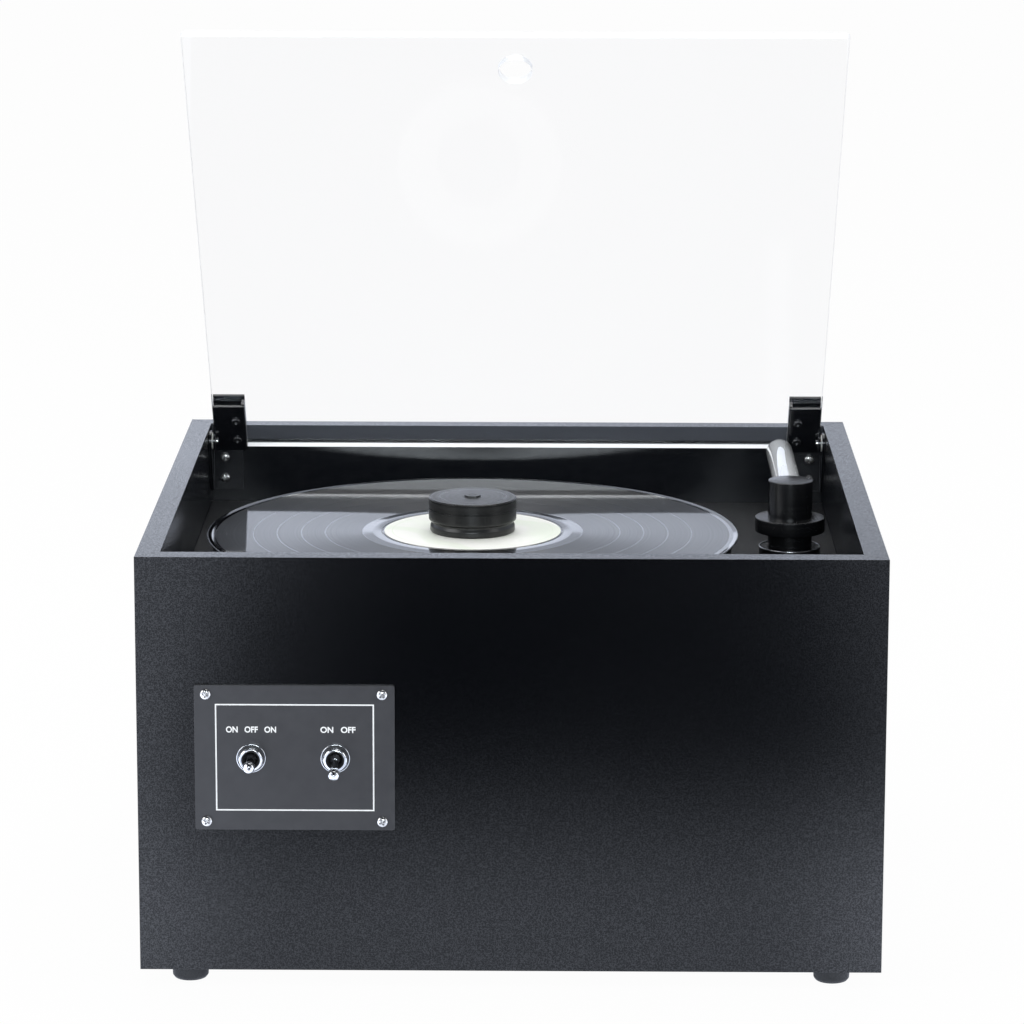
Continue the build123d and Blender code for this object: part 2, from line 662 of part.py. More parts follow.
def make_tank():
    outer = block(tank_left, tank_right, tank_front, tank_back, tank_floor, tank_rim)
    outer = fillet(outer.edges().filter_by(Axis.Z), 8.0)
    inner = block(tank_left + wall, tank_right - wall, tank_front + wall, tank_back - wall,
                  tank_floor + wall, tank_rim + 1)
    inner = fillet(inner.edges().filter_by(Axis.Z), 5.5)
    tank = outer - inner
    tank -= rod_y(spout_x, spout_z, 6.0, tank_back - wall - 1, tank_back + 1)
    keep("fluid_tank", tank)
    lid = block(tank_left, tank_right, tank_front, tank_back, tank_rim, tank_rim + lid_plate)
    lid = fillet(lid.edges().filter_by(Axis.Z), 8.0)
    lid += disc(arm_x, arm_y, nipple_radius, tank_rim + lid_plate, tank_nipple)
    lid += disc(port_x, port_y, duct_bore, tank_rim + lid_plate, tank_rim + lid_plate + port_height)
    lid -= disc(arm_x, arm_y, stem_bore, tank_rim - 1, tank_nipple + 1)
    lid -= disc(port_x, port_y, duct_bore - 2, tank_rim - 1, tank_rim + 40)
    keep("tank_lid", lid)


def make_hose():
    low, high = tank_rim + lid_plate + 2.0, seat_z - 4.0
    keep("suction_hose", ring(arm_x, arm_y, hose_radius, nipple_radius, low, high))
    keep("hose_clamps", [ring(arm_x, arm_y, hose_radius + 1.2, hose_radius, z, z + 8)
                         for z in (low + 4, high - 12)])


def make_vacuum_motor():
    x, y = vacuum_x, vacuum_y
    r = vacuum_can_radius
    stator = r - 18
    flange, bore, shell = fan_radius + flange_reach, shaft_radius + fit, r - wall
    can = turned([(5, can_low), (r, can_low), (r, can_high), (flange, can_high), (flange, cover_low),
                  (bore, cover_low), (bore, can_high - 6), (shell, can_high - 6), (shell, can_high - 12),
                  (stator, can_high - 12), (stator, can_low + 12), (shell, can_low + 12),
                  (shell, can_low + wall), (5, can_low + wall)], x, y)
    stud_circle = fan_radius + flange_reach / 2
    studs = [(x + stud_circle * math.cos(math.radians(a)), y + stud_circle * math.sin(math.radians(a)))
             for a in stud_angles]
    for sx, sy in studs:
        can -= disc(sx, sy, stud_radius, can_high - 1, cover_low + 1)
    keep("vacuum_motor", can)
    keep("vacuum_studs", [disc(sx, sy, stud_radius, floor_board, cover_low + 6) for sx, sy in studs])
    keep("vacuum_gasket", ring(x, y, r + 4, r - 12, floor_board, can_low))
    bore, outer, rise = cover_collar
    cover = turned([(outer, cover_high + rise), (bore, cover_high + rise), (bore, cover_high - wall),
                    (fan_radius - wall, cover_high - wall), (fan_radius - wall, cover_low),
                    (fan_radius, cover_low), (fan_radius, cover_high), (outer, cover_high)], x, y)
    keep("fan_cover", cover)
    shaft_low, disc_low, disc_high, hub_high = can_low + 8, cover_low + 4, cover_low + 6, cover_low + 20
    fan = turned([(0, shaft_low), (shaft_radius, shaft_low), (shaft_radius, disc_low),
                  (fan_disc_radius, disc_low), (fan_disc_radius, disc_high), (fan_hub_radius, disc_high),
                  (fan_hub_radius, hub_high), (0, hub_high)], x, y)
    blade = block(fan_hub_radius - 3, fan_disc_radius - 2, -0.8, 0.8, disc_high - 1, hub_high - 2)
    for k in range(fan_blades):
        fan += Pos(x, y, 0) * Rot(0, 0, 360 / fan_blades * k) * blade
    keep("vacuum_fan", fan)


def make_duct():
    x, y = vacuum_x, vacuum_y
    start = cover_high + cover_collar[2] + 0.2
    route = FilletPolyline([(x, y, start), (x, y, duct_z), (port_x, port_y, duct_z),
                            (port_x, port_y, tank_rim + lid_plate + 0.2)], radius=duct_bend)
    face = Plane(origin=route @ 0, z_dir=route % 0)
    outer = sweep(face * Circle(duct_radius), path=route)
    inner = sweep(face * Circle(duct_bore), path=route)
    keep("intake_duct", outer - inner)


# ---- back panel fittings ------------------------------------------------------------------

spout_radius = 6.0
spout_bore = 4.0
plug_head = 2.8
plug_length = 12.0                           # of the plug's body in the spout
vent_slots = 7
slot_pitch = 6.6
slot_half = (22.0, 1.6)                      # half width and half height
mouth_half = (12.0, 8.0)                     # of the inlet's mouth
mouth_depth = 17.0
pin_places = ((-7, -1.5), (0, 2.5), (7, -1.5))


def make_back_fittings():
    half = vent_plate_half
    grille = block(vent_x - half, vent_x + half, back, back + back_plate, vent_z - half, vent_z + half)
    grille = fillet(grille.edges().filter_by(Axis.Y), 3.0)
    wide, high = slot_half
    for k in range(vent_slots):
        z = vent_z + (k - (vent_slots - 1) / 2) * slot_pitch
        grille -= block(vent_x - wide, vent_x + wide, back - 1, back + 3, z - high, z + high)
    keep("vent_grille", cut(grille, screw_holes(back_places[:4], back_screw)))
    keep("back_panel_screws", at_all(back_places, pan_screw(**back_screw)))
    w, h = inlet_half_w - 0.3, inlet_half_h - 0.3
    inlet_face = back + back_plate
    inlet = block(inlet_x - w, inlet_x + w, inner_y - 8, back, inlet_z - h, inlet_z + h)
    inlet += block(inlet_x - 25, inlet_x + 25, back, inlet_face, inlet_z - 11.5, inlet_z + 11.5)
    wide, high = mouth_half
    inlet -= block(inlet_x - wide, inlet_x + wide, inlet_face - mouth_depth, inlet_face + 1,
                   inlet_z - high, inlet_z + high)
    for dx, dz in pin_places:
        inlet += block(inlet_x + dx - 1, inlet_x + dx + 1, inner_y - 4, inlet_face - 6,
                       inlet_z + dz - 2, inlet_z + dz + 2)
    keep("power_inlet", cut(inlet, screw_holes(back_places[4:], back_screw)))
    end = rear_reach - plug_head
    spout = rod_y(spout_x, spout_z, spout_radius, tank_back - wall - 2, end)
    spout += rod_y(spout_x, spout_z, 11.0, back, back + 3)
    spout -= rod_y(spout_x, spout_z, spout_bore, tank_back - 6, end + 1)
    keep("drain_spout", spout)
    plug = rod_y(spout_x, spout_z, spout_bore - fit, end - plug_length, end)
    plug += rod_y(spout_x, spout_z, spout_radius - 0.3, end + fit, rear_reach)
    plug += rod_y(spout_x, spout_z, spout_bore - fit, end - 1, rear_reach - 1)
    keep("drain_plug", plug)


# ---- build --------------------------------------------------------------------------------

make_cabinet()
make_framing()
make_feet()
make_controls()
make_lid()
make_hinges()
make_turntable()
make_motor()
make_record()
make_clamp()
make_arm_socket()
make_arm()
make_tank()
make_hose()
make_vacuum_motor()
make_duct()
make_back_fittings()

os.makedirs("parts", exist_ok=True)
for node, shape in parts.items():
    export_step(shape, "parts/" + node + ".step")
print(len(parts), "nodes")
print("lid hinge", hinge_y, hinge_z, "arm", arm_x, arm_y, "tube z", tube_z, "pivot", pivot_y, switch_z)
print("record top", record_top, "rear reach", rear_reach, "lips", tube_z - lip_radius)
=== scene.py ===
import json
import math

import bmesh
import bpy
import numpy as np
from mathutils import Matrix, Vector


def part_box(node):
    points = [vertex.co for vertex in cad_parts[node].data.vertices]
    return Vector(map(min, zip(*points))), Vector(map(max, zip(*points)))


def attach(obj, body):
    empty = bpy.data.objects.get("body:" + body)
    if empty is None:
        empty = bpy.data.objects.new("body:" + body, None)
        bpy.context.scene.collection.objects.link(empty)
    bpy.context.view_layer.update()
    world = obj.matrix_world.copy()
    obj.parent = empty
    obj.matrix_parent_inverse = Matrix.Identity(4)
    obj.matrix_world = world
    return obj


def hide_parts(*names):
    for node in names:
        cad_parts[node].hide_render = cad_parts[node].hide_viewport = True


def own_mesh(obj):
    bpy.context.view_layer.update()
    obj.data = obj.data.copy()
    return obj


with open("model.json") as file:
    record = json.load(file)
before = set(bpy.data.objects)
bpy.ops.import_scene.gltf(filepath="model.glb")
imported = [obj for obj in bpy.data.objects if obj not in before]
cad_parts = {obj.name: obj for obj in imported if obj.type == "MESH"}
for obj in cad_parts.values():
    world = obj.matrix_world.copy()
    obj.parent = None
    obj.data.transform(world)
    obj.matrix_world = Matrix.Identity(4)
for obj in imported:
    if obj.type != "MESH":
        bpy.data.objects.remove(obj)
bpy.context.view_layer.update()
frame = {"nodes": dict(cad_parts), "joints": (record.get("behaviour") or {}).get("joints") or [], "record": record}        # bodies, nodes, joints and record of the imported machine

mm = 0.001
nodes = frame["nodes"]
joints = {joint["name"]: joint for joint in frame["joints"]}
print("frame loaded:", len(nodes), "nodes")

# camera: stands in front, a little to the right, and looks down on the open lid
cameraPlace = {"spot": (19.2 * mm, -2424.1 * mm, 741.1 * mm), "yaw": 0.4881, "pitch": -12.1428,
               "roll": -0.1344, "lens": 153.82, "sensor": 36.0}


def placeCamera(place):
    turn = [Matrix.Rotation(math.radians(place[key]), 3, axis)
            for key, axis in (("yaw", "Z"), ("pitch", "X"), ("roll", "Y"))]
    right, ahead, up = (turn[0] @ turn[1] @ turn[2]).col
    data = bpy.data.cameras.new("camera")
    data.lens, data.sensor_width = place["lens"], place["sensor"]
    data.clip_start, data.clip_end = 0.05, 200.0
    camera = bpy.data.objects.new("camera", data)
    camera.matrix_world = Matrix.Translation(place["spot"]) @ Matrix((right, up, -ahead)).transposed().to_4x4()
    bpy.context.collection.objects.link(camera)
    bpy.context.scene.camera = camera


placeCamera(cameraPlace)
print("camera placed")


# ways to make a surface

# quad k of a grid joins (i, j), (i, j + 1), (i + 1, j + 1) and (i + 1, j)
def gridFaces(rows, columns, wrapRows, wrapColumns):
    i, j = np.meshgrid(np.arange(rows if wrapRows else rows - 1),
                       np.arange(columns if wrapColumns else columns - 1), indexing="ij")
    i, j = i.ravel(), j.ravel()
    nextI, nextJ = (i + 1) % rows, (j + 1) % columns
    return np.stack([i * columns + j, i * columns + nextJ, nextI * columns + nextJ, nextI * columns + j], 1)


def meshFrom(name, points, faces, sharpAngle=32):
    mesh = bpy.data.meshes.new(name)
    mesh.from_pydata(points, [], faces)
    work = bmesh.new()
    work.from_mesh(mesh)
    bmesh.ops.remove_doubles(work, verts=work.verts, dist=1e-7)
    bmesh.ops.dissolve_degenerate(work, edges=work.edges, dist=1e-8)
    bmesh.ops.recalc_face_normals(work, faces=work.faces)
    work.to_mesh(mesh)
    work.free()
    mesh.polygons.foreach_set("use_smooth", np.ones(len(mesh.polygons), bool))
    mesh.set_sharp_from_angle(angle=math.radians(sharpAngle))
    return mesh


def addPiece(name, mesh, body, materials, replaced=()):
    piece = bpy.data.objects.new(name, mesh)
    bpy.context.collection.objects.link(piece)
    for material in materials:
        mesh.materials.append(material)
    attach(piece, body)
    if replaced:
        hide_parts(*replaced)
    return piece


# a corner given a third number becomes an arc of that radius, tangent to both sides
def roundedOutline(corners, closed, steps=5):
    runs = []
    for k, corner in enumerate(corners):
        here = np.array(corner[:2], float)
        atEnd = not closed and k in (0, len(corners) - 1)
        if len(corner) < 3 or atEnd:
            runs.append(here[None])
            continue
        back = np.array(corners[k - 1][:2], float) - here
        ahead = np.array(corners[(k + 1) % len(corners)][:2], float) - here
        lengths = np.linalg.norm(back), np.linalg.norm(ahead)
        back, ahead = back / lengths[0], ahead / lengths[1]
        half = math.acos(np.clip(back @ ahead, -1, 1)) / 2
        reach = min(corner[2] / math.tan(half), 0.48 * min(lengths))
        middle = here + (back + ahead) / np.linalg.norm(back + ahead) * reach / math.cos(half)
        sweep = math.pi - 2 * half
        share = np.linspace(0, 1, steps + 1)[:, None]
        first, last = here + back * reach - middle, here + ahead * reach - middle
        arc = (np.sin((1 - share) * sweep) * first + np.sin(share * sweep) * last) / math.sin(sweep)
        runs.append(middle + arc)
    return np.concatenate(runs)


# own axes of a piece: its +Z lies along direction, its +X as level as it can
def axesAt(origin, direction):
    ahead = Vector(direction).normalized()
    side = Vector((0, 0, 1)).cross(ahead)
    side = Vector((1, 0, 0)) if side.length < 1e-6 else side.normalized()
    return np.array(Matrix((side, ahead.cross(side), ahead))), np.array(origin, float)


def carried(points, axes):
    turn, origin = axes
    return points.reshape(-1, 3) @ turn + origin


# solid of revolution: a point is (r cos t, r sin t, z) for each profile point r, z and each angle t;
# waver(t, r, z) may add to r
def latheGrid(profile, segments, waver=None):
    angle = np.linspace(0, 2 * math.pi, segments, endpoint=False)[:, None]
    radius, height = profile[:, 0][None], profile[:, 1][None]
    if waver is not None:
        radius = radius + waver(angle, radius, height)
    radius, height, angle = np.broadcast_arrays(radius, height, angle)
    return np.stack([radius * np.cos(angle), radius * np.sin(angle), height], 2)


def latheParts(corners, axes, segments=128, closed=True, steps=5, waver=None, fine=None):
    profile = roundedOutline(corners, closed, steps) if fine is None else fine
    grid = latheGrid(profile * mm, segments, waver)
    return carried(grid, axes), gridFaces(segments, len(profile), True, closed)


# several (points, faces) sets as one
def joined(sets):
    points, faces, start = [], [], 0
    for somePoints, someFaces in sets:
        points.append(somePoints)
        faces.append(someFaces + start)
        start += len(somePoints)
    return np.concatenate(points), np.concatenate(faces)


# merged copy of a node with its edges rounded; rounded edges take the second material
def softenedMesh(name, node, merge=2e-6):
    mesh = nodes[node].data.copy()
    mesh.name = name
    mesh.materials.clear()
    work = bmesh.new()
    work.from_mesh(mesh)
    bmesh.ops.remove_doubles(work, verts=work.verts, dist=merge)
    bmesh.ops.dissolve_limit(work, angle_limit=math.radians(0.5), verts=work.verts, edges=work.edges)
    work.to_mesh(mesh)
    work.free()
    mesh.polygons.foreach_set("material_index", np.zeros(len(mesh.polygons), np.int32))
    return mesh


def softened(name, node, body, materials, width=0.3, segments=2, angle=40, weights=None):
    mesh = softenedMesh(name, node)
    mesh.polygons.foreach_set("use_smooth", np.ones(len(mesh.polygons), bool))
    if weights is not None:
        setEdgeWeights(mesh, weights, angle)
    else:
        mesh.set_sharp_from_angle(angle=math.radians(32))
    piece = addPiece(name, mesh, body, materials, [node])
    bevel = piece.modifiers.new("edges", "BEVEL")
    bevel.width, bevel.segments = width * mm, segments
    bevel.limit_method = "ANGLE" if weights is None else "WEIGHT"
    bevel.angle_limit = math.radians(angle)
    bevel.harden_normals = True
    bevel.use_clamp_overlap = True
    if len(materials) > 1:
        bevel.material = 1
    return piece


# faces chosen by test(middles, normals) take the material at the given place in the list
def markFaces(mesh, test, place):
    count = len(mesh.polygons)
    middles, normals = np.zeros(count * 3, np.float32), np.zeros(count * 3, np.float32)
    mesh.polygons.foreach_get("center", middles)
    mesh.polygons.foreach_get("normal", normals)
    chosen = np.zeros(count, np.int32)
    mesh.polygons.foreach_get("material_index", chosen)
    chosen[test(middles.reshape(-1, 3), normals.reshape(-1, 3))] = place
    mesh.polygons.foreach_set("material_index", chosen)


# an edge's bevel weight is weights(its two ends), where its faces meet at more than the angle
def setEdgeWeights(mesh, weights, angle):
    work = bmesh.new()
    work.from_mesh(mesh)
    sharp = np.array([edge.calc_face_angle(0.0) > math.radians(angle) for edge in work.edges])
    work.free()
    count = len(mesh.edges)
    ends = np.zeros(count * 2, np.int32)
    mesh.edges.foreach_get("vertices", ends)
    spots = np.zeros(len(mesh.vertices) * 3, np.float32)
    mesh.vertices.foreach_get("co", spots)
    spots = spots.reshape(-1, 3)
    ends = ends.reshape(-1, 2)
    share = weights(spots[ends[:, 0]], spots[ends[:, 1]]) * sharp
    mesh.attributes.new("bevel_weight_edge", "FLOAT", "EDGE").data.foreach_set("value", share.astype(np.float32))
    mesh.attributes.new("sharp_edge", "BOOLEAN", "EDGE").data.foreach_set("value", sharp)


# ways to make a finish

def addNode(tree, kind, settings=None, **inputs):
    made = tree.nodes.new("ShaderNode" + kind)
    for key, value in (settings or {}).items():
        setattr(made, key, value)
    for key, value in inputs.items():
        setInput(tree, made, key.replace("_", " "), value)
    return made


def setInput(tree, made, key, value):
    socket = made.inputs[int(key[3:])] if key.startswith("nth") else made.inputs[key]
    if isinstance(value, bpy.types.NodeSocket):
        tree.links.new(value, socket)
    else:
        socket.default_value = value


def calc(tree, operation, first, second=0.0, third=0.0, clamp=False):
    made = addNode(tree, "Math", {"operation": operation, "use_clamp": clamp}, nth0=first, nth1=second)
    if operation in ("MULTIPLY_ADD", "SMOOTH_MIN", "COMPARE"):
        setInput(tree, made, "nth2", third)
    return made.outputs[0]


def along(tree, operation, first, second=(0, 0, 0), output=0):
    made = addNode(tree, "VectorMath", {"operation": operation}, nth0=first)
    setInput(tree, made, "Scale" if operation == "SCALE" else "nth1", second)
    return made.outputs[output]


# low..high on value becomes toLow..toHigh, held at both ends
def ranged(tree, value, low, high, toLow=0.0, toHigh=1.0, smooth=False):
    made = addNode(tree, "MapRange", {"interpolation_type": "SMOOTHSTEP" if smooth else "LINEAR"},
                   nth0=value, nth1=low, nth2=high, nth3=toLow, nth4=toHigh)
    return made.outputs[0]


def blended(tree, share, first, second):
    made = addNode(tree, "Mix", {"data_type": "RGBA", "clamp_factor": True})
    for key, value in (("nth0", share), ("nth6", first), ("nth7", second)):
        setInput(tree, made, key, value)
    return made.outputs[2]


def noise(tree, vector, scale, detail=2.0, rough=0.5, output=0, dims="3D", **more):
    made = addNode(tree, "TexNoise", {"noise_dimensions": dims}, Scale=scale, Detail=detail, Roughness=rough, **more)
    if dims == "1D":
        setInput(tree, made, "W", vector)
    else:
        setInput(tree, made, "Vector", vector)
    return made.outputs[output]


socketKinds = {"value": "NodeSocketFloat", "colour": "NodeSocketColor", "vector": "NodeSocketVector"}


def effectGroup(name, inputs, outputs):
    group = bpy.data.node_groups.new(name, "ShaderNodeTree")
    for key, kind, value in inputs:
        socket = group.interface.new_socket(key, in_out="INPUT", socket_type=socketKinds[kind])
        socket.default_value = value
    for key, kind in outputs:
        group.interface.new_socket(key, in_out="OUTPUT", socket_type=socketKinds[kind])
    return group, group.nodes.new("NodeGroupInput").outputs, group.nodes.new("NodeGroupOutput").inputs


def objectSpot(tree):
    return addNode(tree, "TexCoord").outputs["Object"]


# grain of a pressed laminate: worm-like ridges of a folded noise over a finer pebble, with a slow drift in depth
def makePebble():
    group, given, out = effectGroup("pebbleGrain", [("Worms", "value", 620.0), ("Cells", "value", 1600.0),
                                                    ("Drift", "value", 8.0)],
                                    [("Height", "value"), ("Tops", "value")])
    spot = objectSpot(group)
    folded = calc(group, "ABSOLUTE", calc(group, "SUBTRACT", noise(group, spot, given["Worms"], 2.0, 0.5), 0.5))
    worms = ranged(group, folded, 0.0, 0.13, 1.0, 0.0, True)
    cells = addNode(group, "TexVoronoi", {"feature": "SMOOTH_F1"}, Vector=spot, Scale=given["Cells"],
                    Smoothness=0.35).outputs["Distance"]
    pebble = ranged(group, cells, 0.05, 0.62, 1.0, 0.0, True)
    height = calc(group, "MULTIPLY_ADD", worms, 0.72, calc(group, "MULTIPLY", pebble, 0.28))
    drift = noise(group, spot, given["Drift"], 2.0, 0.5)
    group.links.new(calc(group, "MULTIPLY", height, ranged(group, drift, 0.3, 0.7, 0.75, 1.0)), out["Height"])
    group.links.new(ranged(group, height, 0.35, 0.95), out["Tops"])
    return group


# grain of moulded or painted surfaces: two sizes of soft noise
def makeGrain():
    group, given, out = effectGroup("fineGrain", [("Fine", "value", 2500.0), ("Coarse", "value", 180.0)],
                                    [("Height", "value"), ("Mottle", "value")])
    spot = objectSpot(group)
    fine = noise(group, spot, given["Fine"], 2.0, 0.6)
    coarse = noise(group, spot, given["Coarse"], 4.0, 0.55)
    group.links.new(calc(group, "MULTIPLY_ADD", fine, 0.7, calc(group, "MULTIPLY", coarse, 0.3)), out["Height"])
    group.links.new(ranged(group, coarse, 0.3, 0.7), out["Mottle"])
    return group


# settled dust: specks and a thin film where the surface faces up
def makeDust():
    group, given, out = effectGroup("settledDust", [("Film", "value", 0.1), ("Specks", "value", 0.3)],
                                    [("Mask", "value")])
    spot = objectSpot(group)
    normal = addNode(group, "NewGeometry").outputs["Normal"]
    up = addNode(group, "SeparateXYZ", None, Vector=normal).outputs["Z"]
    level = ranged(group, up, 0.35, 0.95, 0.0, 1.0, True)
    cloud = ranged(group, noise(group, spot, 22.0, 5.0, 0.65), 0.38, 0.75)
    points = addNode(group, "TexVoronoi", {"feature": "F1"}, Vector=spot, Scale=330.0, Randomness=1.0)
    size = ranged(group, points.outputs["Distance"], 0.05, 0.13, 1.0, 0.0)
    chosen = addNode(group, "SeparateXYZ", None, Vector=points.outputs["Color"]).outputs["X"]
    few = ranged(group, chosen, 0.86, 0.9)
    specks = calc(group, "MULTIPLY", calc(group, "MULTIPLY", size, few), given["Specks"])
    film = calc(group, "MULTIPLY", cloud, given["Film"])
    both = calc(group, "ADD", specks, film)
    group.links.new(calc(group, "MULTIPLY", both, level, clamp=True), out["Mask"])
    return group


# marks left by turning: rings about an upright line, or about a line along Y where Lying is 1
def makeTurning():
    group, given, out = effectGroup("turningMarks", [("Centre", "vector", (0, 0, 0)), ("Rings", "value", 2500.0),
                                                     ("Lying", "value", 0.0)],
                                    [("Height", "value"), ("Tone", "value")])
    place = along(group, "SUBTRACT", objectSpot(group), given["Centre"])
    parts = addNode(group, "SeparateXYZ", None, Vector=place).outputs
    other = calc(group, "ADD", calc(group, "MULTIPLY", parts["Y"], calc(group, "SUBTRACT", 1.0, given["Lying"])),
                 calc(group, "MULTIPLY", parts["Z"], given["Lying"]))
    flat = addNode(group, "CombineXYZ", None, X=parts["X"], Y=other).outputs[0]
    radius = along(group, "LENGTH", flat, output=1)
    depth = calc(group, "ADD", calc(group, "MULTIPLY", parts["Z"], calc(group, "SUBTRACT", 1.0, given["Lying"])),
                 calc(group, "MULTIPLY", parts["Y"], given["Lying"]))
    line = calc(group, "ADD", radius, depth)
    group.links.new(noise(group, line, given["Rings"], 3.0, 0.7, dims="1D"), out["Height"])
    group.links.new(noise(group, line, 320.0, 2.0, 0.6, dims="1D"), out["Tone"])
    return group


# hairline scratches: thin contour lines of a stretched noise, thinned out by a second one
def makeScratches():
    group, given, out = effectGroup("hairlines", [("Spread", "value", 60.0), ("Amount", "value", 0.5)],
                                    [("Mask", "value")])
    spot = objectSpot(group)
    total = None
    for turn, stretch in ((0.4, (1.0, 0.06, 0.3)), (1.9, (0.07, 1.0, 0.4)), (2.7, (0.6, 0.05, 1.0))):
        laid = addNode(group, "Mapping", None, Vector=spot, Rotation=(turn, 0.3, turn * 1.7), Scale=stretch)
        lines = noise(group, laid.outputs[0], given["Spread"], 5.0, 0.5)
        thin = ranged(group, calc(group, "ABSOLUTE", calc(group, "SUBTRACT", lines, 0.5)), 0.0, 0.0035, 1.0, 0.0)
        total = thin if total is None else calc(group, "MAXIMUM", total, thin)
    chosen = ranged(group, noise(group, spot, 35.0, 2.0, 0.5), 0.5, 0.62)
    mask = calc(group, "MULTIPLY", calc(group, "MULTIPLY", total, chosen), given["Amount"])
    group.links.new(mask, out["Mask"])
    return group


# tiny round grooves about an upright line: the normal leans in and out along the radius, more or less
# by band, and is left alone inside inner and outside outer
def makeGrooves():
    group, given, out = effectGroup("grooves", [("Centre", "vector", (0, 0, 0)), ("Lean", "value", 0.12),
                                                ("Inner", "value", 0.06), ("Outer", "value", 0.146)],
                                    [("Normal", "vector"), ("Groove", "value"), ("Tone", "value")])
    place = along(group, "MULTIPLY", along(group, "SUBTRACT", objectSpot(group), given["Centre"]), (1, 1, 0))
    radius = along(group, "LENGTH", place, output=1)
    outward = along(group, "NORMALIZE", place)
    inside = calc(group, "MULTIPLY", calc(group, "GREATER_THAN", radius, given["Inner"]),
                  calc(group, "LESS_THAN", radius, given["Outer"]))
    gaps = None
    for gap in vinylLook["trackGaps"]:
        near = calc(group, "ABSOLUTE", calc(group, "SUBTRACT", radius, gap))
        line = ranged(group, near, 0.0001, 0.0004, 0.35, 1.0)
        gaps = line if gaps is None else calc(group, "MULTIPLY", gaps, line)
    cut = calc(group, "MULTIPLY", inside, gaps)
    wave = calc(group, "SINE", calc(group, "MULTIPLY", radius, 2 * math.pi / vinylLook["groovePitch"]))
    loud = ranged(group, noise(group, radius, 900.0, 4.0, 0.75, dims="1D"), 0.3, 0.7, 0.55, 1.25)
    lean = calc(group, "MULTIPLY", calc(group, "MULTIPLY", wave, given["Lean"]), calc(group, "MULTIPLY", loud, cut))
    tilt = addNode(group, "VectorTransform", {"vector_type": "NORMAL", "convert_from": "OBJECT",
                                              "convert_to": "WORLD"}, Vector=outward).outputs[0]
    normal = addNode(group, "NewGeometry").outputs["Normal"]
    leaned = along(group, "ADD", normal, along(group, "SCALE", tilt, lean))
    group.links.new(along(group, "NORMALIZE", leaned), out["Normal"])
    group.links.new(cut, out["Groove"])
    group.links.new(loud, out["Tone"])
    return group


vinylLook = {"trackGaps": (0.0835, 0.097, 0.1108, 0.1242), "groovePitch": 0.00026, "lean": 0.003,
             "inner": 0.0625, "outer": 0.1455}
effects = {"pebble": makePebble(), "grain": makeGrain(), "dust": makeDust(), "turning": makeTurning(),
           "scratches": makeScratches(), "grooves": makeGrooves()}


def effect(tree, name, **inputs):
    made = tree.nodes.new("ShaderNodeGroup")
    made.node_tree = effects[name]
    for key, value in inputs.items():
        setInput(tree, made, key, value)
    return made.outputs


def newMaterial(name, **constants):
    material = bpy.data.materials.new(name)
    material.use_nodes = True
    shader = material.node_tree.nodes["Principled BSDF"]
    for key, value in constants.items():
        if key == "Base_Color" and len(value) == 3:
            value = (*value, 1.0)
        shader.inputs[key.replace("_", " ")].default_value = value
    return material, material.node_tree, shader


def bumped(tree, shader, height, distance, strength=1.0):
    made = addNode(tree, "Bump", None, Strength=strength, Distance=distance, Height=height)
    tree.links.new(made.outputs[0], shader.inputs["Normal"])


def feed(tree, shader, **sockets):
    for key, socket in sockets.items():
        tree.links.new(socket, shader.inputs[key.replace("_", " ")])


def rgb(colour):
    return (*colour, 1.0)


# dusty(colour): the colour under a film of pale dust
def dusted(tree, colour, film, specks, dust=(0.42, 0.41, 0.4)):
    mask = effect(tree, "dust", Film=film, Specks=specks)["Mask"]
    return blended(tree, mask, colour, rgb(dust)), mask


finishes = {}

laminateLook = {"dark": (0.0011, 0.0014, 0.0022), "light": (0.0028, 0.0033, 0.0048), "rough": (0.15, 0.2),
                "grainDepth": 0.000008, "worms": 780.0, "coat": (0.0, 0.85)}


def makeLaminate(name, look, depth, rough):
    material, tree, shader = newMaterial(name, Specular_IOR_Level=0.3, Coat_Roughness=0.14)
    pebble = effect(tree, "pebble", Worms=look["worms"])
    slow = noise(tree, objectSpot(tree), 6.0, 3.0, 0.55)
    colour = blended(tree, pebble["Tops"], rgb(look["dark"]), rgb(look["light"]))
    colour, mask = dusted(tree, colour, 0.012, 0.12)
    feed(tree, shader, Base_Color=colour, Coat_Weight=ranged(tree, pebble["Tops"], 0.0, 1.0, *look["coat"]))
    feed(tree, shader, Roughness=calc(tree, "ADD", ranged(tree, slow, 0.3, 0.7, *rough),
                                      calc(tree, "MULTIPLY", mask, 0.3)))
    bumped(tree, shader, pebble["Height"], depth)
    return material


finishes["laminate"] = makeLaminate("laminate", laminateLook, laminateLook["grainDepth"], laminateLook["rough"])
finishes["laminateEdge"] = makeLaminate("laminateEdge", laminateLook, 0.000008, (0.2, 0.26))
finishes["laminateRim"] = makeLaminate("laminateRim", laminateLook, 0.000003, (0.16, 0.22))

boardLook = {"dark": (0.2, 0.13, 0.075), "light": (0.42, 0.3, 0.19)}


def makeBoard():
    material, tree, shader = newMaterial("board", Roughness=0.85, Specular_IOR_Level=0.25)
    spot = objectSpot(tree)
    fibres = noise(tree, addNode(tree, "Mapping", None, Vector=spot, Scale=(1, 1, 6)).outputs[0], 420.0, 5.0, 0.7)
    colour = blended(tree, ranged(tree, fibres, 0.3, 0.7), rgb(boardLook["dark"]), rgb(boardLook["light"]))
    feed(tree, shader, Base_Color=dusted(tree, colour, 0.1, 0.2)[0])
    bumped(tree, shader, fibres, 0.00012)
    return material


finishes["board"] = makeBoard()

deckLook = {"base": (0.0022, 0.0025, 0.0034), "crest": (0.0075, 0.008, 0.0095), "wrinkles": 1000.0, "depth": 0.00015}


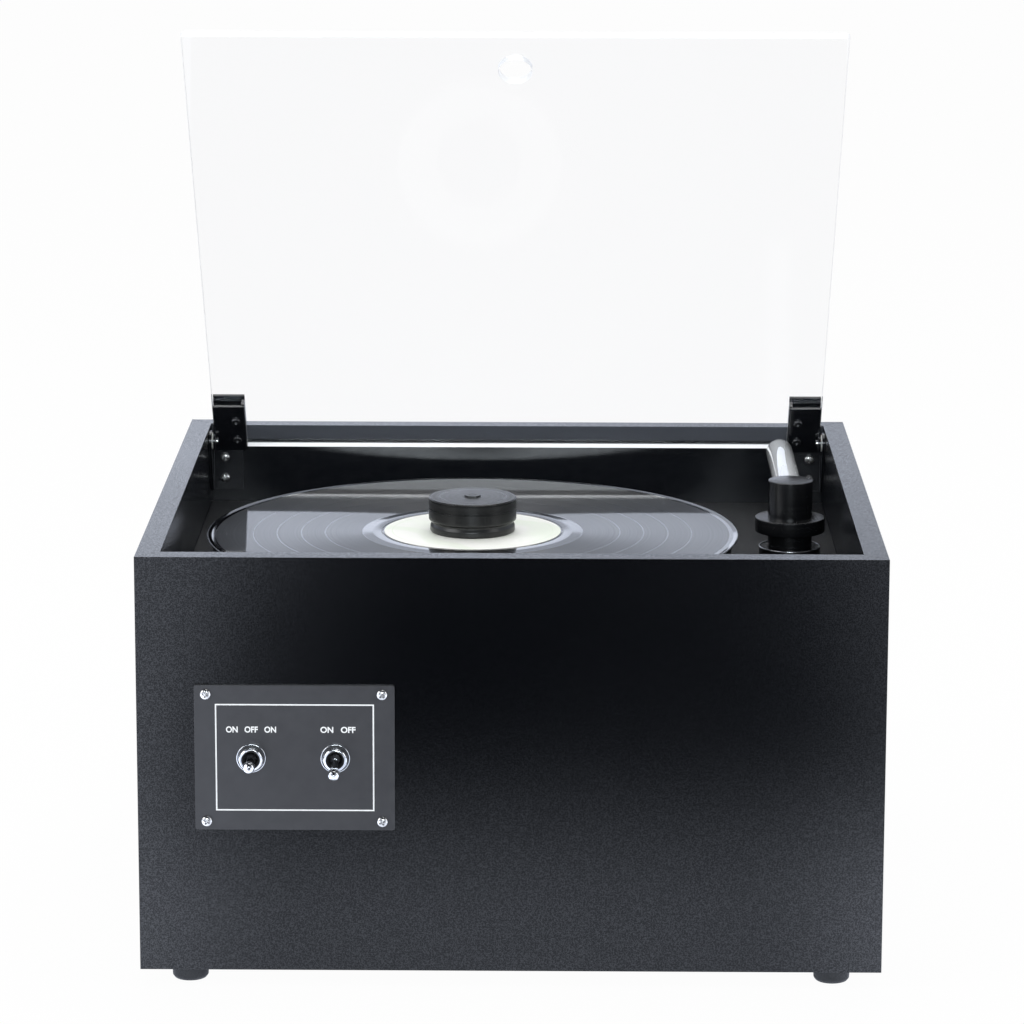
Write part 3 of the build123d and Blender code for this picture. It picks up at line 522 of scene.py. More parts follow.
# crinkle paint: ridged noise, so that the crests meet in a net
def makeDeckPaint():
    material, tree, shader = newMaterial("deckPaint", Specular_IOR_Level=0.2)
    spot = objectSpot(tree)
    first = noise(tree, spot, deckLook["wrinkles"], 3.0, 0.55)
    ridge = ranged(tree, calc(tree, "ABSOLUTE", calc(tree, "SUBTRACT", first, 0.5)), 0.0, 0.16, 1.0, 0.0, True)
    colour = blended(tree, ridge, rgb(deckLook["base"]), rgb(deckLook["crest"]))
    colour, mask = dusted(tree, colour, 0.05, 0.5)
    feed(tree, shader, Base_Color=colour, Roughness=ranged(tree, ridge, 0.0, 1.0, 0.5, 0.3))
    bumped(tree, shader, ridge, deckLook["depth"])
    return material


finishes["deckPaint"] = makeDeckPaint()


# moulded or painted dark surface: fine grain, mottled roughness, a little dust
def makeMoulded(name, base, lift, rough, fine, depth, film=0.03, specks=0.15, **constants):
    material, tree, shader = newMaterial(name, **constants)
    grain = effect(tree, "grain", Fine=fine)
    colour = blended(tree, grain["Mottle"], rgb(base), rgb(lift))
    colour, mask = dusted(tree, colour, film, specks)
    level = ranged(tree, grain["Mottle"], 0.0, 1.0, *rough)
    feed(tree, shader, Base_Color=colour, Roughness=calc(tree, "ADD", level, calc(tree, "MULTIPLY", mask, 0.3)))
    bumped(tree, shader, grain["Height"], depth)
    return material


mouldedLooks = {
    "footRubber": dict(base=(0.018, 0.019, 0.0205), lift=(0.027, 0.028, 0.031), rough=(0.62, 0.8), fine=2600.0,
                       depth=0.00006, film=0.06),
    "plateBlack": dict(base=(0.029, 0.0293, 0.0335), lift=(0.034, 0.0343, 0.0388), rough=(0.38, 0.46), fine=5200.0,
                       depth=0.000012),
    # the paler edge finish: a painted highlight along the plate's rounded edges
    "plateEdgeHighlight": dict(base=(0.05, 0.052, 0.057), lift=(0.07, 0.072, 0.078), rough=(0.3, 0.38), fine=5200.0,
                      depth=0.00001),
    "switchCase": dict(base=(0.014, 0.014, 0.015), lift=(0.02, 0.02, 0.021), rough=(0.45, 0.6), fine=3000.0,
                       depth=0.00003),
    "insideBlack": dict(base=(0.0042, 0.005, 0.007), lift=(0.006, 0.007, 0.0092), rough=(0.2, 0.27), fine=1400.0,
                        depth=0.000006, film=0.02),
    "hingeBlack": dict(base=(0.0055, 0.0062, 0.0085), lift=(0.008, 0.0088, 0.0115), rough=(0.16, 0.24), fine=900.0,
                       depth=0.00002, film=0.01, Coat_Weight=0.35, Coat_Roughness=0.1),
    # the paler, part-metallic edge finish: a painted highlight along the rounded edges and folds of the hinge clamps
    # and brackets
    "hingeEdgeHighlight": dict(base=(0.1, 0.105, 0.115), lift=(0.2, 0.21, 0.225), rough=(0.16, 0.26), fine=900.0,
                      depth=0.00001, film=0.0, Metallic=0.5),
    "nylon": dict(base=(0.72, 0.7, 0.64), lift=(0.8, 0.78, 0.72), rough=(0.4, 0.55), fine=1800.0, depth=0.00002,
                  Subsurface_Weight=0.15),
    "screwBlack": dict(base=(0.02, 0.021, 0.024), lift=(0.035, 0.036, 0.04), rough=(0.14, 0.22), fine=3000.0,
                       depth=0.000006, Metallic=0.4, Coat_Weight=1.0, Coat_Roughness=0.05),
    "matRubber": dict(base=(0.018, 0.018, 0.018), lift=(0.028, 0.028, 0.028), rough=(0.7, 0.85), fine=1800.0,
                      depth=0.00012),
    "tankPlastic": dict(base=(0.74, 0.75, 0.71), lift=(0.82, 0.82, 0.78), rough=(0.38, 0.5), fine=1200.0,
                        depth=0.00004, Subsurface_Weight=0.25),
    "hoseRubber": dict(base=(0.014, 0.014, 0.014), lift=(0.024, 0.024, 0.024), rough=(0.55, 0.7), fine=1500.0,
                       depth=0.00008),
    "grilleBlack": dict(base=(0.012, 0.0125, 0.014), lift=(0.018, 0.0185, 0.02), rough=(0.42, 0.52), fine=2200.0,
                        depth=0.00005),
    "spoutPlastic": dict(base=(0.03, 0.03, 0.031), lift=(0.042, 0.042, 0.043), rough=(0.4, 0.5), fine=2200.0,
                         depth=0.00003),
    "printWhite": dict(base=(0.84, 0.85, 0.86), lift=(0.91, 0.92, 0.93), rough=(0.4, 0.5), fine=6000.0,
                       depth=0.000004, film=0.0, specks=0.0),
}
for key, look in mouldedLooks.items():
    finishes[key] = makeMoulded(key, **look)


# the band is painted light: a paler, matter strip along the top of the back board's inside
liningLook = {"base": (0.0042, 0.005, 0.007), "lift": (0.006, 0.007, 0.0092), "rough": (0.16, 0.21),
              "band": (0.048, 0.053, 0.065), "lightBandRough": 0.5, "lightBandFrom": 0.2262, "lightBandTo": 0.2284}


# inside of the back board: glossy black with a paler matt band along its top, which is painted light
def makeLining(name, look):
    material, tree, shader = newMaterial(name)
    grain = effect(tree, "grain", Fine=1400.0)
    height = addNode(tree, "SeparateXYZ", None, Vector=objectSpot(tree)).outputs["Z"]
    # painted light: the band's paler colour
    band = ranged(tree, height, look["lightBandFrom"], look["lightBandTo"], 0.0, 1.0, True)
    colour = blended(tree, grain["Mottle"], rgb(look["base"]), rgb(look["lift"]))
    colour, mask = dusted(tree, blended(tree, band, colour, rgb(look["band"])), 0.02, 0.15)
    glossy = ranged(tree, grain["Mottle"], 0.0, 1.0, *look["rough"])
    rough = calc(tree, "MULTIPLY_ADD", band, look["lightBandRough"], calc(tree, "MULTIPLY_ADD", mask, 0.3, glossy))
    feed(tree, shader, Base_Color=colour, Roughness=rough)
    bumped(tree, shader, grain["Height"], 0.000006)
    return material


finishes["backLiningLightBand"] = makeLining("backLiningLightBand", liningLook)


# turned plastic or metal: rings about the axis in height, roughness and tone
def makeTurned(name, base, lift, rough, centre, rings, depth, lying=0.0, film=0.05, specks=0.3, **constants):
    material, tree, shader = newMaterial(name, **constants)
    marks = effect(tree, "turning", Centre=centre, Rings=rings, Lying=lying)
    colour = blended(tree, ranged(tree, marks["Tone"], 0.3, 0.7), rgb(base), rgb(lift))
    colour, mask = dusted(tree, colour, film, specks)
    scratched = effect(tree, "scratches", Amount=0.25)["Mask"]
    level = calc(tree, "ADD", ranged(tree, marks["Tone"], 0.3, 0.7, *rough), calc(tree, "MULTIPLY", scratched, 0.2))
    feed(tree, shader, Base_Color=colour, Roughness=level)
    bumped(tree, shader, marks["Height"], depth)
    return material


def middleOf(node):
    low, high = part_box(node)
    return tuple((low + high) / 2)


recordMiddle, armMiddle = middleOf("record"), middleOf("arm_collar")
turnedLooks = {
    "clampPlastic": dict(base=(0.011, 0.0115, 0.0115), lift=(0.0145, 0.015, 0.015), rough=(0.26, 0.36),
                         centre=recordMiddle, rings=2600.0, depth=0.00001),
    "armPlastic": dict(base=(0.0035, 0.0038, 0.0046), lift=(0.0055, 0.0058, 0.0066), rough=(0.2, 0.27),
                       centre=armMiddle, rings=2600.0, depth=0.000008),
    "platterMetal": dict(base=(0.03, 0.03, 0.033), lift=(0.045, 0.045, 0.048), rough=(0.28, 0.4),
                         centre=recordMiddle, rings=1900.0, depth=0.00001, Metallic=0.7),
    "brightRing": dict(base=(0.66, 0.66, 0.68), lift=(0.8, 0.8, 0.82), rough=(0.12, 0.22), centre=armMiddle,
                       rings=3600.0, depth=0.000004, Metallic=1.0),
    "motorMetal": dict(base=(0.42, 0.42, 0.43), lift=(0.55, 0.55, 0.55), rough=(0.35, 0.5),
                       centre=middleOf("vacuum_motor"), rings=1500.0, depth=0.00002, Metallic=1.0, film=0.15),
    "brass": dict(base=(0.62, 0.42, 0.17), lift=(0.76, 0.56, 0.27), rough=(0.2, 0.3), centre=recordMiddle,
                  rings=3000.0, depth=0.000006, Metallic=1.0),
    "fanMetal": dict(base=(0.6, 0.6, 0.61), lift=(0.72, 0.72, 0.73), rough=(0.3, 0.45),
                     centre=middleOf("vacuum_fan"), rings=1500.0, depth=0.00001, Metallic=1.0, film=0.12),
}
for key, look in turnedLooks.items():
    finishes[key] = makeTurned(key, **look)


# plated metal: clouded tone, hairlines and faint smears
def makePlated(name, base, lift, rough, depth=0.000004, film=0.0, **constants):
    material, tree, shader = newMaterial(name, Metallic=1.0, **constants)
    cloud = effect(tree, "grain", Fine=1400.0, Coarse=120.0)
    lines = effect(tree, "scratches", Spread=140.0, Amount=0.6)["Mask"]
    colour = blended(tree, cloud["Mottle"], rgb(base), rgb(lift))
    colour, mask = dusted(tree, colour, film, 0.1)
    level = calc(tree, "ADD", ranged(tree, cloud["Mottle"], 0.0, 1.0, *rough), calc(tree, "MULTIPLY", lines, 0.25))
    feed(tree, shader, Base_Color=colour, Roughness=level)
    bumped(tree, shader, cloud["Height"], depth)
    return material


platedLooks = {
    "brightSteel": dict(base=(0.6, 0.6, 0.6), lift=(0.75, 0.74, 0.73), rough=(0.16, 0.3)),
    "chrome": dict(base=(0.72, 0.74, 0.77), lift=(0.82, 0.83, 0.85), rough=(0.035, 0.08), depth=0.000001),
    "zincPlate": dict(base=(0.55, 0.57, 0.56), lift=(0.66, 0.66, 0.6), rough=(0.28, 0.42), film=0.08),
}
for key, look in platedLooks.items():
    finishes[key] = makePlated(key, **look)


# the groove walls spread light across the grooves, and the lands between them mirror it
def makeVinyl():
    material, tree, shader = newMaterial("vinyl", Specular_IOR_Level=0.5, Anisotropic=0.97,
                                         Anisotropic_Rotation=0.25, Coat_Roughness=0.035, Coat_IOR=1.5)
    cut = effect(tree, "grooves", Centre=recordMiddle, Lean=vinylLook["lean"], Inner=vinylLook["inner"],
                 Outer=vinylLook["outer"])
    base = blended(tree, cut["Groove"], (0.003, 0.003, 0.0036, 1), (0.0045, 0.0047, 0.0055, 1))
    colour, mask = dusted(tree, base, 0.006, 0.2)
    feed(tree, shader, Base_Color=colour, Normal=cut["Normal"])
    around = addNode(tree, "Tangent", {"direction_type": "RADIAL", "axis": "Z"}).outputs[0]
    tree.links.new(around, shader.inputs["Tangent"])
    walls = calc(tree, "MULTIPLY", cut["Groove"], ranged(tree, cut["Tone"], 0.55, 1.25, 0.42, 0.5))
    feed(tree, shader, Roughness=calc(tree, "ADD", calc(tree, "MAXIMUM", walls, 0.08),
                                      calc(tree, "MULTIPLY", mask, 0.3)))
    feed(tree, shader, Coat_Weight=calc(tree, "MULTIPLY_ADD", calc(tree, "MULTIPLY", cut["Groove"], cut["Tone"]),
                                        -0.2, 1.0))
    return material


finishes["vinyl"] = makeVinyl()

labelLook = {"paper": (0.93, 0.925, 0.88), "tint": (0.76, 0.84, 0.68), "pale": (0.88, 0.91, 0.82),
             "ink": (0.32, 0.4, 0.3)}


# generic label: pale paper with soft green washes and a ring near the rim
def makeLabelPaper():
    material, tree, shader = newMaterial("labelPaper", Roughness=0.55, Specular_IOR_Level=0.35)
    place = along(tree, "SUBTRACT", objectSpot(tree), recordMiddle)
    parts = addNode(tree, "SeparateXYZ", None, Vector=place).outputs
    radius = along(tree, "LENGTH", along(tree, "MULTIPLY", place, (1, 1, 0)), output=1)
    wash = noise(tree, place, 34.0, 3.0, 0.5)
    colour = blended(tree, ranged(tree, wash, 0.46, 0.66, 0.0, 0.75, True), rgb(labelLook["paper"]),
                     rgb(labelLook["pale"]))
    swirl = addNode(tree, "TexWave", {"wave_type": "BANDS", "bands_direction": "DIAGONAL"}, Vector=place,
                    Scale=9.0, Distortion=6.0, Detail=2.0, Detail_Scale=1.2).outputs["Fac"]
    colour = blended(tree, ranged(tree, swirl, 0.72, 0.98, 0.0, 0.4, True), colour, rgb(labelLook["tint"]))
    ringLine = ranged(tree, calc(tree, "ABSOLUTE", calc(tree, "SUBTRACT", radius, 0.0455)), 0.0, 0.0005, 0.7, 0.0)
    colour = blended(tree, ringLine, colour, rgb(labelLook["tint"]))
    fibres = noise(tree, objectSpot(tree), 2600.0, 3.0, 0.7)
    feed(tree, shader, Base_Color=blended(tree, ranged(tree, fibres, 0.35, 0.7, 0.0, 0.06), colour,
                                          rgb(labelLook["ink"])))
    bumped(tree, shader, fibres, 0.00001)
    return material


finishes["labelPaper"] = makeLabelPaper()

acrylicLook = {"tint": (0.974, 0.976, 0.984), "ior": 1.15, "edge": (0.95, 0.955, 0.965)}


# clear sheet: bends light for the eye and lets lamp light through to what is under it
def makeClear(name, tint, ior, film, clear=1.0):
    material, tree, shader = newMaterial(name, IOR=ior, Transmission_Weight=clear, Specular_IOR_Level=0.5)
    lines = effect(tree, "scratches", Spread=26.0, Amount=0.4)["Mask"]
    smear = noise(tree, objectSpot(tree), 9.0, 4.0, 0.6)
    rough = calc(tree, "ADD", ranged(tree, smear, 0.45, 0.8, 0.0, film), calc(tree, "MULTIPLY", lines, 0.05))
    specks = effect(tree, "dust", Film=0.0, Specks=0.5)["Mask"]
    feed(tree, shader, Roughness=rough, Base_Color=blended(tree, specks, rgb(tint), (0.8, 0.8, 0.8, 1)))
    throughSheet = addNode(tree, "BsdfTransparent", None, Color=(0.93, 0.94, 0.95, 1))
    light = addNode(tree, "LightPath").outputs
    lamp = calc(tree, "MAXIMUM", light["Is Shadow Ray"], light["Is Diffuse Ray"])
    both = addNode(tree, "MixShader", None, nth0=lamp, nth1=shader.outputs[0], nth2=throughSheet.outputs[0])
    tree.links.new(both.outputs[0], tree.nodes["Material Output"].inputs["Surface"])
    return material


finishes["clearAcrylic"] = makeClear("clearAcrylic", acrylicLook["tint"], acrylicLook["ior"], 0.008, 1.0)
finishes["clearTube"] = makeClear("clearTube", (0.96, 0.975, 0.99), 1.47, 0.03, 0.6)
finishes["acrylicEdge"] = makeMoulded("acrylicEdge", acrylicLook["edge"], (0.97, 0.975, 0.985), (0.3, 0.4),
                                      1400.0, 0.00001, film=0.0, specks=0.0, Transmission_Weight=0.2, IOR=1.4)

velvetLook = {"deep": (0.006, 0.006, 0.007), "tip": (0.03, 0.03, 0.034)}


def makeVelvet():
    material, tree, shader = newMaterial("velvet", Roughness=0.95, Sheen_Weight=0.6, Sheen_Roughness=0.4)
    pile = noise(tree, objectSpot(tree), 5200.0, 3.0, 0.7)
    lay = noise(tree, objectSpot(tree), 260.0, 2.0, 0.5)
    share = calc(tree, "MULTIPLY", ranged(tree, pile, 0.35, 0.7), ranged(tree, lay, 0.3, 0.7, 0.5, 1.0))
    feed(tree, shader, Base_Color=blended(tree, share, rgb(velvetLook["deep"]), rgb(velvetLook["tip"])))
    bumped(tree, shader, pile, 0.0002)
    return material


finishes["velvet"] = makeVelvet()
print("finishes made:", len(finishes))

# every node takes the finish of its slot; pieces made below stand for some of them
slotFinish = {"laminate": "laminate", "board": "board", "deck_paint": "deckPaint", "foot_rubber": "footRubber",
              "bright_steel": "brightSteel", "plate_black": "plateBlack", "switch_case": "switchCase",
              "chrome": "chrome", "hinge_black": "hingeBlack", "nylon": "nylon", "screw_black": "screwBlack",
              "clear_acrylic": "clearAcrylic", "motor_metal": "motorMetal", "zinc_plate": "zincPlate",
              "platter_metal": "platterMetal", "mat_rubber": "matRubber", "vinyl": "vinyl",
              "label_paper": "labelPaper", "clamp_plastic": "clampPlastic", "brass": "brass",
              "arm_plastic": "armPlastic", "clear_tube": "clearTube", "velvet": "velvet",
              "tank_plastic": "tankPlastic", "hose_rubber": "hoseRubber", "fan_metal": "fanMetal",
              "grille_black": "grilleBlack", "spout_plastic": "spoutPlastic"}
nodeSlot = {part["node"]: part["material_slot"] for part in frame["record"]["subparts"]}
for name, carriedNode in nodes.items():
    carriedNode.data.materials.clear()
    carriedNode.data.materials.append(finishes[slotFinish[nodeSlot[name]]])
print("nodes dressed")

# cabinet boards: full rounding along the rims, hardly any on the mitres
boardEdges = {"rim": 0.45, "mitreShare": 0.45}


def boardWeights(first, second):
    half = np.array([cabinetHigh[0], cabinetHigh[1]])
    inFirst, inSecond = half - np.abs(first[:, :2]), half - np.abs(second[:, :2])
    onMitre = (np.abs(inFirst[:, 0] - inFirst[:, 1]) < 2e-5) & (np.abs(inSecond[:, 0] - inSecond[:, 1]) < 2e-5)
    return np.where(onMitre, boardEdges["mitreShare"], 1.0)


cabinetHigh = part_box("right_panel")[1][0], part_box("back_panel")[1][1]
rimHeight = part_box("front_panel")[1][2] - 1 * mm
for side in ("front", "back", "left", "right"):
    softened(side + "Board", side + "_panel", "cabinet", [finishes["laminate"], finishes["laminateEdge"]],
             boardEdges["rim"], 3, weights=boardWeights)
for side in ("front", "back", "left", "right"):
    boardMesh = bpy.data.objects[side + "Board"].data
    boardMesh.materials.append(finishes["laminateRim"])
    markFaces(boardMesh, lambda middles, normals: (normals[:, 2] > 0.9) & (middles[:, 2] > rimHeight), 2)
    # the back board's inside takes the lining with its painted band of light
    boardMesh.materials.append(finishes["backLiningLightBand" if side == "back" else "insideBlack"])
    markFaces(boardMesh, lambda middles, normals: (middles[:, :2] * normals[:, :2]).sum(1) < -0.1, 3)
softened("deckBoard", "deck", "cabinet", [finishes["deckPaint"]], 0.6, 3)
softened("bottomBoard", "bottom_panel", "cabinet", [finishes["board"]], 0.3)
print("cabinet done")

# rubber feet
footShape = {"corners": [(3.7, 0, 0.3), (8.4, 0, 1.2), (9.6, 1.6, 1.2), (10.0, 8.9, 0.5), (9.5, 9.5), (1.9, 9.5),
                         (1.9, 4.0), (3.7, 4.0, 0.3)], "segments": 96}


def nodeSolids(node):
    lows, highs = islandBoxes(nodes[node].data)
    return [((low + high) / 2, low, high) for low, high in zip(lows, highs)]


# boxes of the separate solids of a node, found by growing sets of shared corners
def islandBoxes(mesh):
    work = bmesh.new()
    work.from_mesh(mesh)
    bmesh.ops.remove_doubles(work, verts=work.verts, dist=2e-6)
    left = set(work.verts)
    lows, highs = [], []
    while left:
        found = [left.pop()]
        for corner in found:
            fresh = {edge.other_vert(corner) for edge in corner.link_edges} & left
            left -= fresh
            found.extend(fresh)
        spots = np.array([corner.co[:] for corner in found])
        lows.append(spots.min(0))
        highs.append(spots.max(0))
    work.free()
    return lows, highs


def makeFeet():
    sets = [latheParts(footShape["corners"], axesAt((middle[0], middle[1], 0), (0, 0, 1)), footShape["segments"])
            for middle, low, high in nodeSolids("feet")]
    points, faces = joined(sets)
    addPiece("rubberFeet", meshFrom("rubberFeet", points, faces), "cabinet", [finishes["footRubber"]],
             ["feet"])


makeFeet()


# pan head with a cross recess: over distance d from the axis and angle t the head rises to a dome,
# less the depth of a cross whose arms narrow and shallow outwards; the shank runs down from it
def panHead(radius, height, shank, length, axes, turn):
    rings, segments = 26, 72
    share = np.linspace(0, 1, rings)[None]
    angle = np.linspace(0, 2 * math.pi, segments, endpoint=False)[:, None]
    reach = radius * np.sqrt(share) * np.ones_like(angle)
    x, y = reach * np.cos(angle), reach * np.sin(angle)
    dome = height * (0.25 + 0.75 * np.sqrt(np.clip(1 - (reach / radius) ** 2.6, 0, 1)))
    arms = radius * 0.62
    widest = radius * 0.17

    def slot(long, wide):
        inLength = np.clip((arms - np.abs(long)) / (0.25 * arms), 0, 1)
        inWidth = np.clip((widest - np.abs(wide)) / (0.45 * widest), 0, 1)
        return inLength * inWidth

    recess = np.maximum(slot(x, y), slot(y, x)) * height * 0.75
    top = np.stack([x, y, dome - recess], 2)
    side = np.array([(radius, 0.0), (shank, 0.0), (shank, -length), (0.0, -length)])
    below = latheGrid(side, segments)
    grid = np.concatenate([top, below], 1)
    spin = np.array(Matrix.Rotation(turn, 3, "Z"))
    return carried(grid.reshape(-1, 3) @ spin * mm, axes), gridFaces(segments, rings + len(side), True, False)


# each node of screws becomes one piece of detailed screws that lie where its solids lie
screwKinds = {
    "plateScrews": dict(node="control_plate_screws", body="cabinet", finish="brightSteel", slot="bright_steel",
                        head=(2.9, 1.9, 1.45, 10.5), direction=(0, -1, 0), turns=(0.5, 0.2, 1.1, 0.8)),
    "bracketScrews": dict(node="hinge_bracket_screws", body="cabinet", finish="brightSteel", slot="bright_steel",
                          head=(2.9, 2.0, 1.55, 10.5), direction=(0, -1, 0), turns=(0.3, 1.2, 0.7, 0.1)),
    "backScrews": dict(node="back_panel_screws", body="cabinet", finish="screwBlack", slot="screw_black",
                       head=(2.6, 1.8, 1.35, 8.5), direction=(0, 1, 0), turns=(0.3, 1.0, 0.2, 0.9, 0.6, 1.4)),
    "footScrews": dict(node="foot_screws", body="cabinet", finish="brightSteel", slot="bright_steel",
                       head=(3.55, 2.4, 1.75, 10.5), direction=(0, 0, -1), turns=(0.3, 1.0, 0.2, 0.9)),
}


def makeScrews(name, node, body, finish, slot, head, direction, turns):
    way = np.array(direction, float)
    sets = []
    for k, (middle, low, high) in enumerate(sorted(nodeSolids(node), key=lambda found: tuple(found[0].round(4)))):
        end = np.where(way > 0, high, low)
        seat = middle + way * ((end - middle) @ way - head[1] * mm)
        sets.append(panHead(*head, axesAt(seat, direction), turns[k % len(turns)]))
    points, faces = joined(sets)
    addPiece(name, meshFrom(name, points, faces, 28), body, [finishes[finish]], [node])


for name, kind in screwKinds.items():
    makeScrews(name, **kind)
print("feet and screws done")

# control plate, its printed line and its words
# heights are above the plate's lower edge
plateLook = {"line": (-155.9, -72.7, 10.85, 68.45), "lineWidth": 0.75, "printHeight": 0.03, "bolder": 0.03,
             "words": (("ON   OFF   ON", -137.3, 26.5), ("ON   OFF", -91.4, 18.6)), "wordBase": 53.2, "capHeight": 3.4}


# rectangle of flat strips: an outer and an inner outline at two heights, joined round
def makePrintedLine(face, foot):
    left, right = plateLook["line"][:2]
    bottom, top = (foot / mm + height for height in plateLook["line"][2:])
    half, rise = plateLook["lineWidth"] / 2, plateLook["printHeight"]
    rings = []
    for grow, proud in ((half, 0.0), (half, rise), (-half, rise), (-half, 0.0)):
        rings.append([(x, face / mm - proud, z) for x, z in
                      ((left - grow, bottom - grow), (right + grow, bottom - grow),
                       (right + grow, top + grow), (left - grow, top + grow))])
    points = np.array(rings).reshape(-1, 3) * mm
    addPiece("printedLine", meshFrom("printedLine", points, gridFaces(4, 4, True, True)), "cabinet",
             [finishes["printWhite"]])


def makeWords(face, foot):
    whole = bmesh.new()
    for words, middle, width in plateLook["words"]:
        curve = bpy.data.curves.new("words", "FONT")
        curve.body, curve.extrude, curve.size, curve.offset = words, 0.5, 1.0, plateLook["bolder"]
        written = bpy.data.objects.new("words", curve)
        bpy.context.collection.objects.link(written)
        bpy.context.view_layer.update()
        flat = written.to_mesh()
        spots = np.zeros(len(flat.vertices) * 3, np.float32)
        flat.vertices.foreach_get("co", spots)
        spots = spots.reshape(-1, 3)
        low, high = spots.min(0), spots.max(0)
        share = (spots - low) / (high - low)
        placed = np.stack([middle + (share[:, 0] - 0.5) * width,
                           face / mm - share[:, 2] * plateLook["printHeight"],
                           foot / mm + plateLook["wordBase"] + share[:, 1] * plateLook["capHeight"]], 1) * mm
        flat.vertices.foreach_set("co", placed.astype(np.float32).ravel())
        whole.from_mesh(flat)
        written.to_mesh_clear()
        bpy.data.objects.remove(written)
    bmesh.ops.remove_doubles(whole, verts=whole.verts, dist=1e-7)
    bmesh.ops.recalc_face_normals(whole, faces=whole.faces)
    mesh = bpy.data.meshes.new("plateWords")
    whole.to_mesh(mesh)
    whole.free()
    addPiece("plateWords", mesh, "cabinet", [finishes["printWhite"]])


# the plate's rounded edges take the paler second finish, a painted highlight
softened("plate", "control_plate", "cabinet", [finishes["plateBlack"], finishes["plateEdgeHighlight"]], 0.3)
plateFace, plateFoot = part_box("control_plate")[0][1:]
makePrintedLine(plateFace, plateFoot)
makeWords(plateFace, plateFoot)
print("control plate done")

# switches: a nut, a threaded bushing with a flared mouth, and a bat lever in each
switchShape = {"nut": [(5.95, 0.0), (5.95, 1.6, 0.2), (7.0, 1.7, 0.2), (7.2, 2.3, 0.25), (7.75, 2.25, 0.3),
                       (7.75, 0.0)],
               "bushing": [(5.2, -6.0), (5.75, -6.0), (5.75, 4.2, 0.2), (6.25, 4.7, 0.4), (6.35, 5.7, 0.7),
                           (5.6, 6.5, 0.8), (4.9, 5.9, 0.5), (4.2, 4.4, 0.8), (3.75, 2.6, 0.6), (3.45, 0.6), (5.2, 0.4)],
               "threadPitch": 0.75, "threadDepth": 0.2,
               "lever": [(0.0, -3.4), (1.8, -2.9, 0.8), (3.35, -0.3, 1.6), (2.35, 2.7, 1.2), (1.75, 4.2, 1.5),
                         (2.1, 10.0, 5.0), (2.8, 14.4, 2.0), (3.2, 17.0, 1.6), (2.8, 19.2, 1.5), (1.1, 20.35, 0.8),
                         (0.0, 20.4)]}


def makeSwitches():
    middles = {name: joints[name]["pos_m"] for name in ("turntable_toggle", "vacuum_toggle")}
    nuts, bushings = [], []

    # the thread's radius falls and rises once each pitch along and once round
    def thread(angle, radius, height):
        onThread = (radius > 5.6 * mm) & (radius < 5.8 * mm) & (height < 4.1 * mm) & (height > 0.2 * mm)
        turns = height / (switchShape["threadPitch"] * mm) - angle / (2 * math.pi)
        return np.where(onThread, -0.5 * switchShape["threadDepth"] * mm * (1 + np.cos(2 * math.pi * turns)), 0.0)

    sides = np.linspace(0.2, 4.0, 40)
    profile = roundedOutline(switchShape["bushing"], True, 5)
    onSide = np.flatnonzero((profile[:, 0] > 5.7) & (profile[:, 1] < -5.9))[0]
    profile = np.concatenate([profile[:onSide + 1], np.stack([np.full(40, 5.75), sides], 1), profile[onSide + 1:]])
    for middle in middles.values():
        axes = axesAt((middle[0], plateFace, middle[2]), (0, -1, 0))
        nuts.append(latheParts(switchShape["nut"], axes, 96))
        bushings.append(latheParts(None, axes, 96, fine=profile, waver=thread))
    points, faces = joined(nuts)
    addPiece("switchNuts", meshFrom("switchNuts", points, faces), "cabinet", [finishes["chrome"]],
             ["switch_nuts"])
    points, faces = joined(bushings)
    addPiece("switchBushings", meshFrom("switchBushings", points, faces), "cabinet", [finishes["chrome"]])
    for name, node in (("turntable_toggle", "turntable_lever"), ("vacuum_toggle", "vacuum_lever")):
        low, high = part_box(node)
        pivot = Vector(middles[name])
        reach = 17.5 * mm
        drop = pivot[2] - (low[2] + 2.9 * mm)
        lean = math.asin(max(0.0, min(1.0, drop / reach))) if drop > 1.5 * mm else 0.0
        axes = axesAt(pivot, (0, -math.cos(lean), -math.sin(lean)))
        points, faces = latheParts(switchShape["lever"], axes, 96, closed=False)
        addPiece(name + "Lever", meshFrom(name + "Lever", points, faces, 60), node, [finishes["chrome"]],
                 [node])


makeSwitches()
print("switches done")

# lid, clamps and brackets
softened("lidSheet", "lid_sheet", "lid", [finishes["clearAcrylic"], finishes["acrylicEdge"]],
         0.25, 2)
lidLow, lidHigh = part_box("lid_sheet")
lidMesh = bpy.data.objects["lidSheet"].data
lidReach = Vector((0, lidLow[1], lidHigh[2])) - Vector((0, *joints["lid_hinge"]["pos_m"][1:]))
lidUp = np.array(lidReach.normalized())
slitFrom, slitTo = 162.4 * mm, 165.3 * mm


# sawn edges of the lid and its finger hole: faces that don't lie along the sheet
def sawnFaces(middles, normals):
    return np.abs(normals @ np.array((0, lidUp[2], -lidUp[1]))) < 0.5


# the slits that take the clamps' walls are blackened
def slitFaces(middles, normals):
    aside = np.abs(middles[:, 0])
    return sawnFaces(middles, normals) & (aside > slitFrom) & (aside < slitTo)


lidMesh.materials.append(finishes["hingeBlack"])
markFaces(lidMesh, sawnFaces, 1)
markFaces(lidMesh, slitFaces, 2)
# clamps and brackets: their rounded edges and folds take the paler second finish, a painted highlight
for side in ("left", "right"):
    for part, body in (("Clamp", "lid"), ("Bracket", "cabinet")):
        softened(side + part, side + "_hinge_" + part.lower(), body,
                 [finishes["hingeBlack"], finishes["hingeEdgeHighlight"]], 0.3, 3)
print("lid done")

# record: a thin disc, thicker under the label, with a bead at the rim; the grooves slope down outwards
recordShape = {"radius": 150.8, "hole": 3.62, "labelRadius": 50.0, "innerDrop": 0.25, "outerDrop": 0.9,
               "beadDrop": 0.45}


